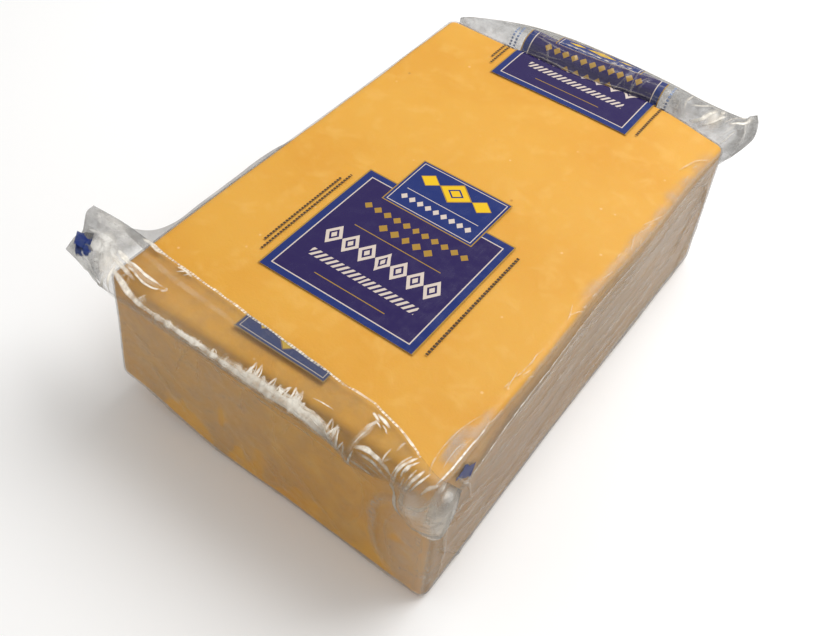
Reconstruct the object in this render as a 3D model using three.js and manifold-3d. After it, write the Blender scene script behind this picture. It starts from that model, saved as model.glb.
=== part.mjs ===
// A loaf of cheddar, vacuum packed in a clear tube bag. The bag hugs the loaf. One flat end of it is folded
// back over the loaf's top, and the other stands out behind. Millimetres, +Z up, +Y away from the folded
// end, and the origin at the middle of the base.
import * as THREE from 'three';
import { mergeVertices } from 'three/addons/utils/BufferGeometryUtils.js';
import Module from 'manifold-3d';

const wasm = await Module();
wasm.setup();

// Driving dimensions of the loaf
const WIDTH = 180;
const LENGTH = 274;
const HEIGHT = 86.5;
const UPRIGHT_ROUND = 5;
const TOP_ROUND = 3.5;
const BASE_ROUND = 5;

// How far the loaf leaves a true box
const LOW_CORNER_LIFT = [-1, 0, 14];
const LOW_CORNER_REACH = 66;
const FOOT_SPREAD = 1.8;
const NEAR_FOOT_SPREAD = 1.8;
const FAR_CORNER_SINK = 2.5;
const FAR_BULGE = 7;
const FAR_BULGE_AT = 45;
const FAR_BULGE_REACH = 70;
const SIDE_INSET = 1.5;
const SIDE_WAVE = 0.7;
const SIDE_WAVE_LENGTH = 104;
const TOP_WAVE = 0.5;

// The bag's flat ends. Each leaves its end face a little below the loaf's top.
const TAIL_ROOT_HEIGHT = 75;
const FILM_HALF = 0.7;
const FILM_BURIED = 5.5;
const LAP_HEIGHT = HEIGHT + 0.9;
const LAP_BELLY = 4.5;
const LAP_MIDDLE_EDGE = -117.5;
const LAP_SKEW = 0.06;
const STAND_HEIGHT = HEIGHT + 4;
const STAND_MIDDLE_EDGE = 162.5;

// Mesh density
const ROUND_STEPS = 3;
const LOAF_STEPS = [18, 26, 12];
const STEPS_PER_STATION = 3;
const STEPS_ALONG_TAIL = 10;

const HALF_WIDTH = WIDTH / 2;
const HALF_LENGTH = LENGTH / 2;
const { smoothstep, lerp, clamp } = THREE.MathUtils;

// 1 at the middle of a bump and 0 at its reach and beyond
function bump(distance, reach) {
  return 1 - smoothstep(Math.abs(distance), 0, reach);
}

// Moves an even grid coordinate so that ROUND_STEPS of its steps fall in each rounded edge.
function spread(value, size, steps, roundLow, roundHigh) {
  const step = Math.round((value / size + 0.5) * steps);
  const low = -size / 2;
  const high = size / 2;
  if (step <= ROUND_STEPS) return low + (roundLow * step) / ROUND_STEPS;
  if (step >= steps - ROUND_STEPS) return high - (roundHigh * (steps - step)) / ROUND_STEPS;
  const share = (step - ROUND_STEPS) / (steps - 2 * ROUND_STEPS);
  return lerp(low + roundLow, high - roundHigh, share);
}

// A point of the box's skin, moved onto the rounded box
function roundOff(point) {
  const up = point.z > HEIGHT / 2;
  const rounds = [UPRIGHT_ROUND, UPRIGHT_ROUND, up ? TOP_ROUND : BASE_ROUND];
  const core = new THREE.Vector3(
    clamp(point.x, -HALF_WIDTH + UPRIGHT_ROUND, HALF_WIDTH - UPRIGHT_ROUND),
    clamp(point.y, -HALF_LENGTH + UPRIGHT_ROUND, HALF_LENGTH - UPRIGHT_ROUND),
    clamp(point.z, BASE_ROUND, HEIGHT - TOP_ROUND),
  );
  const out = point.clone().sub(core).toArray().map((value, axis) => value / rounds[axis]);
  const length = Math.hypot(...out);
  return core.add(new THREE.Vector3(...out.map((value, axis) => (value / length) * rounds[axis])));
}

// The far end's swelling, which is greatest at the top
function farSwell(x, z) {
  return FAR_BULGE * bump(x - FAR_BULGE_AT, FAR_BULGE_REACH) * (z / HEIGHT);
}

// How far the right face stands in from the true box, at its top
function sideInset(y) {
  return SIDE_INSET + SIDE_WAVE * Math.cos((2 * Math.PI * (y + 8)) / SIDE_WAVE_LENGTH);
}

// Settles a point of the true rounded box into the loaf's uneven shape.
function settle(point) {
  const { x, y, z } = point;
  const right = smoothstep(x, 0, HALF_WIDTH);
  const near = smoothstep(-y, 0, HALF_LENGTH);
  const far = smoothstep(y, 0, HALF_LENGTH);
  const high = z / HEIGHT;
  const moved = point.clone();

  moved.x += NEAR_FOOT_SPREAD * right * near * (1 - high);
  moved.y -= NEAR_FOOT_SPREAD * right * near * (1 - high);
  moved.x -= sideInset(y) * right * high * (1 - near * near);
  moved.y += farSwell(x, z) * smoothstep(y, HALF_LENGTH / 2, HALF_LENGTH);
  moved.z -= FAR_CORNER_SINK * right ** 4 * far ** 4 * high;
  moved.z += TOP_WAVE * high ** 4 * Math.sin(x / 31 + 1) * Math.sin(y / 43);

  moved.x += FOOT_SPREAD * (x / HALF_WIDTH) * (1 - high);
  moved.y += FOOT_SPREAD * (y / HALF_LENGTH) * (1 - high);

  const corner = new THREE.Vector3(-HALF_WIDTH, -HALF_LENGTH, 0);
  const pull = bump(point.distanceTo(corner), LOW_CORNER_REACH);
  moved.addScaledVector(new THREE.Vector3(...LOW_CORNER_LIFT), pull);
  return moved;
}

function loaf() {
  const box = new THREE.BoxGeometry(WIDTH, LENGTH, HEIGHT, ...LOAF_STEPS);
  const place = box.getAttribute('position');
  const [stepsX, stepsY, stepsZ] = LOAF_STEPS;
  for (let i = 0; i < place.count; i += 1) {
    const point = new THREE.Vector3(
      spread(place.getX(i), WIDTH, stepsX, UPRIGHT_ROUND, UPRIGHT_ROUND),
      spread(place.getY(i), LENGTH, stepsY, UPRIGHT_ROUND, UPRIGHT_ROUND),
      spread(place.getZ(i), HEIGHT, stepsZ, BASE_ROUND, TOP_ROUND) + HEIGHT / 2,
    );
    const settled = settle(roundOff(point));
    place.setXYZ(i, settled.x, settled.y, settled.z);
  }
  return box;
}

// The y of the folded end's cut edge, across the loaf. It runs out to the right corner.
function lapEdge(x) {
  const turn = Math.max(0, x - 50);
  return LAP_MIDDLE_EDGE - LAP_SKEW * x - 0.011 * turn * turn;
}

// The y of the standing end's cut edge, across the loaf. It runs in to the left corner.
function standEdge(x) {
  const turn = Math.max(0, -20 - x);
  return STAND_MIDDLE_EDGE - 0.0012 * (x - 12) ** 2 - 0.0035 * turn * turn;
}

// A station of the folded end where it lies over the loaf: root, belly, shoulder, lap and cut edge
function lapStation(x) {
  const face = -HALF_LENGTH;
  const sag = 6 * bump(x - 54, 22);
  return [
    [x, face + 2, TAIL_ROOT_HEIGHT - 1 - sag],
    [x, face - LAP_BELLY, TAIL_ROOT_HEIGHT + 5 - sag],
    [x, face - LAP_BELLY + 1, HEIGHT - 1],
    [x, lerp(face, lapEdge(x), 0.3), LAP_HEIGHT + 0.6],
    [x, lapEdge(x), LAP_HEIGHT],
  ];
}

// A station of the standing end behind the loaf: root, rise, crest, run and cut edge
function standStation(x) {
  const face = HALF_LENGTH + farSwell(x, HEIGHT);
  const edge = standEdge(x);
  const lift = smoothstep(edge - face, 0, 16);
  return [
    [x, face - 4, TAIL_ROOT_HEIGHT - 2],
    [x, face + 2, TAIL_ROOT_HEIGHT + 7],
    [x, lerp(face + 2, edge, 0.2), HEIGHT + 2 * lift],
    [x, lerp(face + 2, edge, 0.55), STAND_HEIGHT - 3 * (1 - lift)],
    [x, edge, STAND_HEIGHT - 1 - 3 * (1 - lift)],
  ];
}

// The folded end's ears: the left one sticks out level, and the right one hangs round the corner.
const LAP_LEFT_EAR = [
  [[-114.5, -138, 86], [-115.5, -131.5, 88], [-118, -125, 85.5], [-123, -117.5, 88.5], [-125.5, -111, 87]],
  [[-101, -138.5, 81.5], [-103, -135.5, 86], [-105, -130, 86.5], [-107, -120.5, 89.5], [-108, -110.5, 87.5]],
  [[-88, -138, 76.5], [-89, -140.5, 80.5], [-90, -138.5, 87], [-91, -129, 89], [-92, -111.5, 88]],
];
const LAP_RIGHT_EAR = [
  [[70, -138.5, 71], [74, -141.5, 79.5], [78, -139.5, 86.5], [82, -135.5, 88.5], [84, -132, 88]],
  [[73, -141, 65], [81, -143, 69], [88, -142, 74], [92, -138, 82], [92, -132, 87.5]],
  [[77, -141, 60.5], [86, -142.5, 58.5], [95, -140.5, 59], [97.5, -135.5, 72], [96.5, -130.5, 85.5]],
];

// The standing end's ears: the left one hangs behind the far corner, and the right one runs straight back.
const STAND_LEFT_EAR = [
  [[-72, 139, 52], [-78, 141.5, 48], [-84, 142.5, 50], [-88, 142.5, 58], [-89, 142.5, 68]],
  [[-72, 138, 62], [-77, 141, 63], [-82, 143, 68], [-86, 143.5, 74], [-88, 142.5, 80]],
  [[-70, 134, 73], [-73, 139, 79], [-77, 142, 84], [-80, 142.5, 86.5], [-83, 141, 87]],
];
const STAND_RIGHT_EAR = [
  [[86, 137, 71], [88, 140, 77], [89.5, 143, 84.5], [89, 150, 90], [87, 158, 90.5]],
  [[90, 140, 73], [92.5, 145, 78], [94, 151, 84], [92.5, 157, 90], [90.5, 161, 91.5]],
  [[93, 143, 76], [96, 150, 79.5], [97.5, 157, 82.5], [96, 162, 88], [93.5, 163, 92.5]],
];

// The film that runs from the left ear back to the loaf's left side
const LEFT_WEB = [
  [[-106, -112, 86], [-103, -112, 83], [-98, -111, 79], [-92, -110, 75], [-85, -109, 71]],
  [[-96, -104, 84], [-95, -104, 81], [-93.5, -104, 78], [-91, -103, 74], [-85, -102, 70]],
  [[-91.5, -93, 83], [-91.3, -93, 80], [-91, -93, 77], [-90, -93, 73], [-85, -93, 69]],
  [[-89.6, -78, 82], [-89.6, -78, 79], [-89.4, -78, 76], [-88.6, -78, 72], [-85, -78, 68]],
];

const LAP_MIDDLE_STATIONS = [-66, -44, -22, 0, 20, 38, 54];
const STAND_MIDDLE_STATIONS = [-58, -40, -20, 0, 22, 44, 66];

function smoothThrough(points) {
  return new THREE.CatmullRomCurve3(points, false, 'catmullrom', 0.5);
}

// Points of the smooth surface through a row of stations, as rows across the bag
function surfaceThrough(stations) {
  const lines = stations.map((station) => {
    const line = smoothThrough(station.map((point) => new THREE.Vector3(...point)));
    return line.getPoints(STEPS_ALONG_TAIL);
  });
  const columns = lines[0].map((_, along) => {
    const across = smoothThrough(lines.map((line) => line[along]));
    return across.getPoints((stations.length - 1) * STEPS_PER_STATION);
  });
  return columns[0].map((_, row) => columns.map((column) => column[row]));
}

// The surface's normals, from each point's neighbours
function normalsOf(rows) {
  const last = rows.length - 1;
  return rows.map((row, i) => row.map((_, j) => {
    const end = row.length - 1;
    const along = row[Math.min(j + 1, end)].clone().sub(row[Math.max(j - 1, 0)]);
    const across = rows[Math.min(i + 1, last)][j].clone().sub(rows[Math.max(i - 1, 0)][j]);
    return across.cross(along).normalize();
  }));
}

// The place inside the loaf that lies nearest to a point of the film, a little short of the loaf's middle
function insideLoaf(point) {
  const depth = FILM_BURIED;
  const within = new THREE.Vector3(
    clamp(point.x, -HALF_WIDTH + depth, HALF_WIDTH - depth),
    clamp(point.y, -HALF_LENGTH + depth, HALF_LENGTH - depth),
    clamp(point.z, depth, HEIGHT - depth),
  );
  return within.lerp(point, 0.06);
}

// A closed slab of film round the surface. Where it lies on the loaf its inner side sinks into the loaf.
function filmSlab(stations, liesOnLoaf) {
  const rows = surfaceThrough(stations);
  const normals = normalsOf(rows);
  const outer = rows.map((row, i) => row.map((point, j) => (
    point.clone().addScaledVector(normals[i][j], FILM_HALF)
  )));
  const inner = rows.map((row, i) => row.map((point, j) => {
    const thin = point.clone().addScaledVector(normals[i][j], -FILM_HALF);
    const overLoaf = 1 - smoothstep(Math.abs(point.x), HALF_WIDTH - 12, HALF_WIDTH - 1);
    return liesOnLoaf ? thin.lerp(insideLoaf(point), overLoaf) : thin;
  }));

  const count = rows.length;
  const width = rows[0].length;
  const positions = [...outer.flat(), ...inner.flat()].flatMap((point) => point.toArray());
  const at = (side, i, j) => side * count * width + i * width + j;
  const faces = [];
  const quad = (a, b, c, d) => faces.push(a, b, c, a, c, d);
  for (let i = 0; i < count - 1; i += 1) {
    for (let j = 0; j < width - 1; j += 1) {
      quad(at(0, i, j), at(0, i + 1, j), at(0, i + 1, j + 1), at(0, i, j + 1));
      quad(at(1, i, j), at(1, i, j + 1), at(1, i + 1, j + 1), at(1, i + 1, j));
    }
    quad(at(0, i, 0), at(1, i, 0), at(1, i + 1, 0), at(0, i + 1, 0));
    quad(at(0, i, width - 1), at(0, i + 1, width - 1), at(1, i + 1, width - 1), at(1, i, width - 1));
  }
  for (let j = 0; j < width - 1; j += 1) {
    quad(at(0, 0, j), at(0, 0, j + 1), at(1, 0, j + 1), at(1, 0, j));
    quad(at(0, count - 1, j), at(1, count - 1, j), at(1, count - 1, j + 1), at(0, count - 1, j + 1));
  }
  const slab = new THREE.BufferGeometry();
  slab.setAttribute('position', new THREE.Float32BufferAttribute(positions, 3));
  slab.setIndex(faces);
  return slab;
}

function foldedEnd() {
  const stations = [...LAP_LEFT_EAR, ...LAP_MIDDLE_STATIONS.map(lapStation), ...LAP_RIGHT_EAR];
  return filmSlab(stations, true);
}

function standingEnd() {
  const stations = [...STAND_LEFT_EAR, ...STAND_MIDDLE_STATIONS.map(standStation), ...STAND_RIGHT_EAR];
  return filmSlab(stations, false);
}

function leftWeb() {
  return filmSlab(LEFT_WEB, false);
}

function toSolid(geometry) {
  geometry.deleteAttribute('normal');
  geometry.deleteAttribute('uv');
  const merged = mergeVertices(geometry, 1e-4);
  return new wasm.Manifold(new wasm.Mesh({
    numProp: 3,
    vertProperties: new Float32Array(merged.getAttribute('position').array),
    triVerts: new Uint32Array(merged.getIndex().array),
  }));
}

function toGeometry(solid) {
  const mesh = solid.getMesh();
  const geometry = new THREE.BufferGeometry();
  geometry.setAttribute('position', new THREE.Float32BufferAttribute(mesh.vertProperties, 3));
  geometry.setIndex(Array.from(mesh.triVerts));
  geometry.computeVertexNormals();
  return geometry;
}

function baggedCheddar() {
  const films = [foldedEnd(), standingEnd(), leftWeb()].map(toSolid);
  const solid = films.reduce((whole, film) => whole.add(film), toSolid(loaf()));
  const material = new THREE.MeshStandardMaterial({ color: 0xe8a94f, roughness: 0.35, metalness: 0 });
  const mesh = new THREE.Mesh(toGeometry(solid), material);
  mesh.name = 'bagged_cheddar';
  return mesh;
}

const group = new THREE.Group();
group.add(baggedCheddar());

export default group;
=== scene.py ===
import math

import bpy
import numpy as np
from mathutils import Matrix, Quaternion, Vector
from mathutils.bvhtree import BVHTree


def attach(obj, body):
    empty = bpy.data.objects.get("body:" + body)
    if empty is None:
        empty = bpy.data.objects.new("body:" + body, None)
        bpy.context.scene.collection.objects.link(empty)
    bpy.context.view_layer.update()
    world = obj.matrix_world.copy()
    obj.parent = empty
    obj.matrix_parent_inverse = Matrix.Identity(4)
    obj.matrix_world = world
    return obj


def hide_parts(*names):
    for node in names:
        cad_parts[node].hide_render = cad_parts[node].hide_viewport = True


bl_info = {
    "name": "Bagged cheddar loaf",
    "version": (1, 0, 0),
    "blender": (4, 5, 0),
    "location": "View3D > Sidebar > Cheddar",
    "description": "A large loaf of cheddar sealed in a clear printed bag",
    "category": "Add Mesh",
}

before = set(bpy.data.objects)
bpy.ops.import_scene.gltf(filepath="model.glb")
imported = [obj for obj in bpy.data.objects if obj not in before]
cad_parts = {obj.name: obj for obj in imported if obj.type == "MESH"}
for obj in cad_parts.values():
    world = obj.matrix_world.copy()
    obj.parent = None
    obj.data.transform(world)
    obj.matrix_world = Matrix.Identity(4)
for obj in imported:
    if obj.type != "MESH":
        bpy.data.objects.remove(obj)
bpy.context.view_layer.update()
SOLID = "bagged_cheddar"
METRE = 0.001

# Sizes in millimetres, the same as in the part's solids
WIDTH = 180.0
LENGTH = 274.0
HEIGHT = 86.5
HALF_WIDTH = WIDTH / 2
HALF_LENGTH = LENGTH / 2
UPRIGHT_ROUND = 5.0
TOP_ROUND = 3.5
BASE_ROUND = 5.0
LOW_CORNER_LIFT = (-1.0, 0.0, 14.0)
LOW_CORNER_REACH = 66.0
FOOT_SPREAD = 1.8
NEAR_FOOT_SPREAD = 1.8
FAR_CORNER_SINK = 2.5
FAR_BULGE = 7.0
FAR_BULGE_AT = 45.0
FAR_BULGE_REACH = 70.0
SIDE_INSET = 1.5
SIDE_WAVE = 0.7
SIDE_WAVE_LENGTH = 104.0
TOP_WAVE = 0.5
TAIL_ROOT_HEIGHT = 75.0
LAP_HEIGHT = HEIGHT + 0.9
LAP_BELLY = 4.5
LAP_MIDDLE_EDGE = -117.5
LAP_SKEW = 0.06
STAND_HEIGHT = HEIGHT + 4
STAND_MIDDLE_EDGE = 162.5

LAP_LEFT_EAR = [
    [(-114.5, -138, 86), (-115.5, -131.5, 88), (-118, -125, 85.5), (-123, -117.5, 88.5), (-125.5, -111, 87)],
    [(-101, -138.5, 81.5), (-103, -135.5, 86), (-105, -130, 86.5), (-107, -120.5, 89.5), (-108, -110.5, 87.5)],
    [(-88, -138, 76.5), (-89, -140.5, 80.5), (-90, -138.5, 87), (-91, -129, 89), (-92, -111.5, 88)],
]
LAP_RIGHT_EAR = [
    [(70, -138.5, 71), (74, -141.5, 79.5), (78, -139.5, 86.5), (82, -135.5, 88.5), (84, -132, 88)],
    [(73, -141, 65), (81, -143, 69), (88, -142, 74), (92, -138, 82), (92, -132, 87.5)],
    [(77, -141, 60.5), (86, -142.5, 58.5), (95, -140.5, 59), (97.5, -135.5, 72), (96.5, -130.5, 85.5)],
]
STAND_LEFT_EAR = [
    [(-72, 139, 52), (-78, 141.5, 48), (-84, 142.5, 50), (-88, 142.5, 58), (-89, 142.5, 68)],
    [(-72, 138, 62), (-77, 141, 63), (-82, 143, 68), (-86, 143.5, 74), (-88, 142.5, 80)],
    [(-70, 134, 73), (-73, 139, 79), (-77, 142, 84), (-80, 142.5, 86.5), (-83, 141, 87)],
]
STAND_RIGHT_EAR = [
    [(86, 137, 71), (88, 140, 77), (89.5, 143, 84.5), (89, 150, 90), (87, 158, 90.5)],
    [(90, 140, 73), (92.5, 145, 78), (94, 151, 84), (92.5, 157, 90), (90.5, 161, 91.5)],
    [(93, 143, 76), (96, 150, 79.5), (97.5, 157, 82.5), (96, 162, 88), (93.5, 163, 92.5)],
]
LEFT_WEB = [
    [(-106, -112, 86), (-103, -112, 83), (-98, -111, 79), (-92, -110, 75), (-85, -109, 71)],
    [(-96, -104, 84), (-95, -104, 81), (-93.5, -104, 78), (-91, -103, 74), (-85, -102, 70)],
    [(-92.4, -92, 83), (-92.1, -92, 80), (-91.3, -92, 77), (-89.8, -92, 73), (-85, -92, 69)],
    [(-91.8, -76, 84), (-91.5, -76, 81), (-90.9, -76, 78), (-89.4, -76, 73), (-85, -76, 69)],
    [(-91.4, -52, 84.5), (-91.2, -52, 81.5), (-90.7, -52, 78), (-89.3, -52, 73), (-85, -52, 69)],
    [(-91.1, -28, 84.5), (-90.9, -28, 81.5), (-90.5, -28, 78), (-89.1, -28, 73), (-85, -28, 69)],
    [(-89.4, -4, 83), (-89.3, -4, 80), (-89.1, -4, 77), (-88.4, -4, 73), (-85, -4, 69)],
]
LAP_MIDDLE_STATIONS = (-66, -44, -22, 0, 20, 38, 54)
STAND_MIDDLE_STATIONS = (-58, -40, -20, 0, 22, 44, 66)

# Fineness of the meshes
ROUND_STEPS = 4
CHEESE_STEPS = (92, 138, 46)
FILM_STEPS = (126, 190, 70)
END_STEPS = (400, 54)
WEB_STEPS = (120, 24)

# Half the width, in millimetres, of the narrowest crease that each mesh can hold
LEAST_BODY_CREASE = 1.7
LEAST_END_CREASE = 0.9

# The film's path from the top's edge down to the root of an end, along which the print runs on
ROOT_DROP = HEIGHT - TAIL_ROOT_HEIGHT

# The print: centre and half size of its two rectangles, and where each repeat starts along the film
PRINT_FIELD = (0.0, -47.2, 43.2, 42.4)
PRINT_PANEL = (0.0, 0.0, 26.4, 18.4)
PRINT_START = -89.0
PRINT_PITCH = 195.0

# How far the film's streaks are squeezed in each direction, on the loaf and on the ends
STREAKS_ALONG = (0.42, 0.022, 0.32)
STREAKS_ACROSS = (0.30, 0.08, 0.25)

# The stage, in metres
CAMERA_PLACE = (0.18201, -0.32715, 0.42395)
OVERHEAD_PLACE, OVERHEAD_SIZE = (0.24, 0.54, 1.0), (0.8, 0.8)
SIDE_PLACE, SIDE_SIZE = (-0.9, -0.8, 0.6), (0.7, 0.5)
LIGHT_TARGET = (0.0, 0.0, 0.05)
FLOOR_REACH = 3.0


class LoafSettings(bpy.types.PropertyGroup):
    """The cheese."""

    film_gap: bpy.props.FloatProperty(
        name="Film gap",
        description="How far the cheese lies under the film's outer skin",
        default=0.0008,
        unit="LENGTH",
        subtype="DISTANCE",
    )
    colour: bpy.props.FloatVectorProperty(
        name="Cheese",
        description="The cheese's main colour",
        default=(0.735, 0.376, 0.049),
        size=3,
        min=0.0,
        max=1.0,
        subtype="COLOR",
    )
    deep_colour: bpy.props.FloatVectorProperty(
        name="Deep cheese",
        description="The darker colour that mottles the cheese",
        default=(0.690, 0.320, 0.030),
        size=3,
        min=0.0,
        max=1.0,
        subtype="COLOR",
    )
    pale_colour: bpy.props.FloatVectorProperty(
        name="Pale cheese",
        description="The colour of pale curd and of the knit lines between curds",
        default=(0.80, 0.46, 0.105),
        size=3,
        min=0.0,
        max=1.0,
        subtype="COLOR",
    )


class FilmSettings(bpy.types.PropertyGroup):
    """The clear film of the bag."""

    wrinkle_height: bpy.props.FloatProperty(
        name="Wrinkle height",
        description="How much the wrinkles stand out, as a share of their usual height",
        default=1.0,
        min=0.0,
        max=3.0,
        subtype="FACTOR",
    )
    veil: bpy.props.FloatProperty(
        name="Veil",
        description="How strongly the film hides what is behind it, as a share of the usual",
        default=1.0,
        min=0.0,
        max=2.0,
        subtype="FACTOR",
    )
    grey: bpy.props.FloatVectorProperty(
        name="Grey film",
        description="The film's colour where it stands free",
        default=(0.125, 0.122, 0.115),
        size=3,
        min=0.0,
        max=1.0,
        subtype="COLOR",
    )
    # Besides the film's clouding, this colour paints the highlights that the spots on the bag's ends add.
    pale: bpy.props.FloatVectorProperty(
        name="Pale film",
        description="The film's colour where moisture and air cloud it",
        default=(0.80, 0.76, 0.69),
        size=3,
        min=0.0,
        max=1.0,
        subtype="COLOR",
    )
    # The colour of the painted highlights on sharp creases and on the film's streaks.
    painted_highlight: bpy.props.FloatVectorProperty(
        name="Crease",
        description="The colour of a sharp crease",
        default=(0.98, 0.92, 0.81),
        size=3,
        min=0.0,
        max=1.0,
        subtype="COLOR",
    )


class PrintSettings(bpy.types.PropertyGroup):
    """The plain label shapes printed on the film."""

    field: bpy.props.FloatVectorProperty(
        name="Field",
        description="The label's large square field",
        default=(0.014, 0.005, 0.078),
        size=3,
        min=0.0,
        max=1.0,
        subtype="COLOR",
    )
    border: bpy.props.FloatVectorProperty(
        name="Border",
        description="The border and the small panel above the field",
        default=(0.004, 0.020, 0.150),
        size=3,
        min=0.0,
        max=1.0,
        subtype="COLOR",
    )
    gold: bpy.props.FloatVectorProperty(
        name="Gold",
        description="Rules, outlines, rope band and the upper lozenges",
        default=(0.38, 0.22, 0.03),
        size=3,
        min=0.0,
        max=1.0,
        subtype="COLOR",
    )
    cream: bpy.props.FloatVectorProperty(
        name="Cream",
        description="Pale lines and the large open lozenges",
        default=(0.64, 0.55, 0.48),
        size=3,
        min=0.0,
        max=1.0,
        subtype="COLOR",
    )
    yellow: bpy.props.FloatVectorProperty(
        name="Yellow",
        description="The lozenges on the panel",
        default=(0.80, 0.50, 0.006),
        size=3,
        min=0.0,
        max=1.0,
        subtype="COLOR",
    )
    small: bpy.props.FloatVectorProperty(
        name="Small bars",
        description="The fine bars beside the label",
        default=(0.055, 0.032, 0.018),
        size=3,
        min=0.0,
        max=1.0,
        subtype="COLOR",
    )


class StageSettings(bpy.types.PropertyGroup):
    """Camera, lights and floor."""

    azimuth: bpy.props.FloatProperty(
        name="Azimuth",
        description="The camera's turn to the right of the loaf's near end",
        default=math.radians(30.44),
        subtype="ANGLE",
        unit="ROTATION",
    )
    elevation: bpy.props.FloatProperty(
        name="Elevation",
        description="The camera's height above the floor, as an angle",
        default=math.radians(48.66),
        subtype="ANGLE",
        unit="ROTATION",
    )
    roll: bpy.props.FloatProperty(
        name="Roll",
        description="The camera's turn about its own axis",
        default=math.radians(6.88),
        subtype="ANGLE",
        unit="ROTATION",
    )
    lens: bpy.props.FloatProperty(
        name="Lens",
        description="The camera's focal length in millimetres on a 36 mm sensor",
        default=44.41,
        subtype="DISTANCE_CAMERA",
        unit="CAMERA",
    )
    overhead_power: bpy.props.FloatProperty(
        name="Overhead light",
        description="The large soft light above the loaf",
        default=10.4,
        subtype="POWER",
        unit="POWER",
    )
    side_power: bpy.props.FloatProperty(
        name="Side light",
        description="The weak soft light at the near left",
        default=0.5,
        subtype="POWER",
        unit="POWER",
    )
    surround: bpy.props.FloatProperty(
        name="Surround",
        description="The strength of the even light from all round",
        default=0.58,
        min=0.0,
        max=2.0,
        subtype="FACTOR",
    )


# Shape

def smoothstep(value, low, high):
    """0 up to low and 1 from high on, with a smooth rise between."""
    share = np.clip((value - low) / (high - low), 0.0, 1.0)
    return share * share * (3.0 - 2.0 * share)


def bump(distance, reach):
    """1 at the middle of a bump, 0 at its reach and beyond."""
    return 1.0 - smoothstep(np.abs(distance), 0.0, reach)


def noise_field(points, size, seed):
    """Smooth noise from -1 to 1, with features of one size or one size per axis."""
    table = np.random.default_rng(seed).uniform(-1.0, 1.0, 4096)
    scaled = points / np.asarray(size) + 31.7 * (seed + 1)
    cell = np.floor(scaled).astype(np.int64)
    part = scaled - cell
    part = part * part * (3.0 - 2.0 * part)
    total = np.zeros(len(points))
    for corner in np.ndindex(*(2,) * points.shape[1]):
        key = np.zeros(len(points), np.int64)
        weight = np.ones(len(points))
        for axis, (step, prime) in enumerate(zip(corner, (73856093, 19349663, 83492791))):
            key ^= (cell[:, axis] + step) * prime
            weight *= part[:, axis] if step else 1.0 - part[:, axis]
        total += weight * table[key & 4095]
    return total


def far_swell(x, z):
    """How far the far face bulges out."""
    return FAR_BULGE * bump(x - FAR_BULGE_AT, FAR_BULGE_REACH) * (z / HEIGHT)


def side_inset(y):
    """How far the right side's top edge is drawn in."""
    return SIDE_INSET + SIDE_WAVE * np.cos(2 * math.pi * (y + 8) / SIDE_WAVE_LENGTH)


def round_off(points):
    """Moves points of the box's skin onto the rounded box."""
    rounds = np.empty_like(points)
    rounds[:, :2] = UPRIGHT_ROUND
    rounds[:, 2] = np.where(points[:, 2] > HEIGHT / 2, TOP_ROUND, BASE_ROUND)
    low = np.array((-HALF_WIDTH + UPRIGHT_ROUND, -HALF_LENGTH + UPRIGHT_ROUND, BASE_ROUND))
    high = np.array((HALF_WIDTH - UPRIGHT_ROUND, HALF_LENGTH - UPRIGHT_ROUND, HEIGHT - TOP_ROUND))
    core = np.clip(points, low, high)
    out = (points - core) / rounds
    return core + out / np.linalg.norm(out, axis=1, keepdims=True) * rounds


def settle(points):
    """Moves points of the rounded box into the loaf's uneven shape."""
    x, y, z = points.T
    right = smoothstep(x, 0, HALF_WIDTH)
    near = smoothstep(-y, 0, HALF_LENGTH)
    far = smoothstep(y, 0, HALF_LENGTH)
    high = z / HEIGHT
    moved = points.copy()
    moved[:, 0] += NEAR_FOOT_SPREAD * right * near * (1 - high)
    moved[:, 1] -= NEAR_FOOT_SPREAD * right * near * (1 - high)
    moved[:, 0] -= side_inset(y) * right * high * (1 - near * near)
    moved[:, 1] += far_swell(x, z) * smoothstep(y, HALF_LENGTH / 2, HALF_LENGTH)
    moved[:, 2] -= FAR_CORNER_SINK * right ** 4 * far ** 4 * high
    moved[:, 2] += TOP_WAVE * high ** 4 * np.sin(x / 31 + 1) * np.sin(y / 43)
    moved[:, 0] += FOOT_SPREAD * (x / HALF_WIDTH) * (1 - high)
    moved[:, 1] += FOOT_SPREAD * (y / HALF_LENGTH) * (1 - high)
    corner = np.array((-HALF_WIDTH, -HALF_LENGTH, 0.0))
    pull = bump(np.linalg.norm(points - corner, axis=1), LOW_CORNER_REACH)
    return moved + pull[:, None] * np.array(LOW_CORNER_LIFT)


def grid_quads(index):
    """The quads of a grid of points, from the grid of their numbers."""
    return np.stack((index[:-1, :-1], index[1:, :-1], index[1:, 1:], index[:-1, 1:]), axis=-1).reshape(-1, 4)


def skin_grid(steps):
    """Grid places and quads of a box's whole skin, with its edges shared."""
    places, quads, start = [], [], 0
    for axis in range(3):
        first, second = [other for other in range(3) if other != axis]
        for end in (0, steps[axis]):
            rows, columns = steps[first] + 1, steps[second] + 1
            a, b = np.meshgrid(np.arange(rows), np.arange(columns), indexing="ij")
            side = np.zeros((rows, columns, 3), np.int64)
            side[..., first], side[..., second], side[..., axis] = a, b, end
            index = start + np.arange(rows * columns).reshape(rows, columns)
            faces_out = (end > 0) != (axis == 1)
            quads.append(grid_quads(index) if faces_out else grid_quads(index)[:, ::-1])
            places.append(side.reshape(-1, 3))
            start += rows * columns
    places = np.concatenate(places)
    unique, index = np.unique(places, axis=0, return_inverse=True)
    return unique, index.reshape(-1)[np.concatenate(quads)]


def spread(step, steps, low, high, round_low, round_high):
    """Places along one side of the box, with a few steps in each rounded edge."""
    share = (step - ROUND_STEPS) / (steps - 2 * ROUND_STEPS)
    middle = (low + round_low) + share * (high - round_high - low - round_low)
    start = low + round_low * step / ROUND_STEPS
    finish = high - round_high * (steps - step) / ROUND_STEPS
    return np.where(step <= ROUND_STEPS, start, np.where(step >= steps - ROUND_STEPS, finish, middle))


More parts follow.
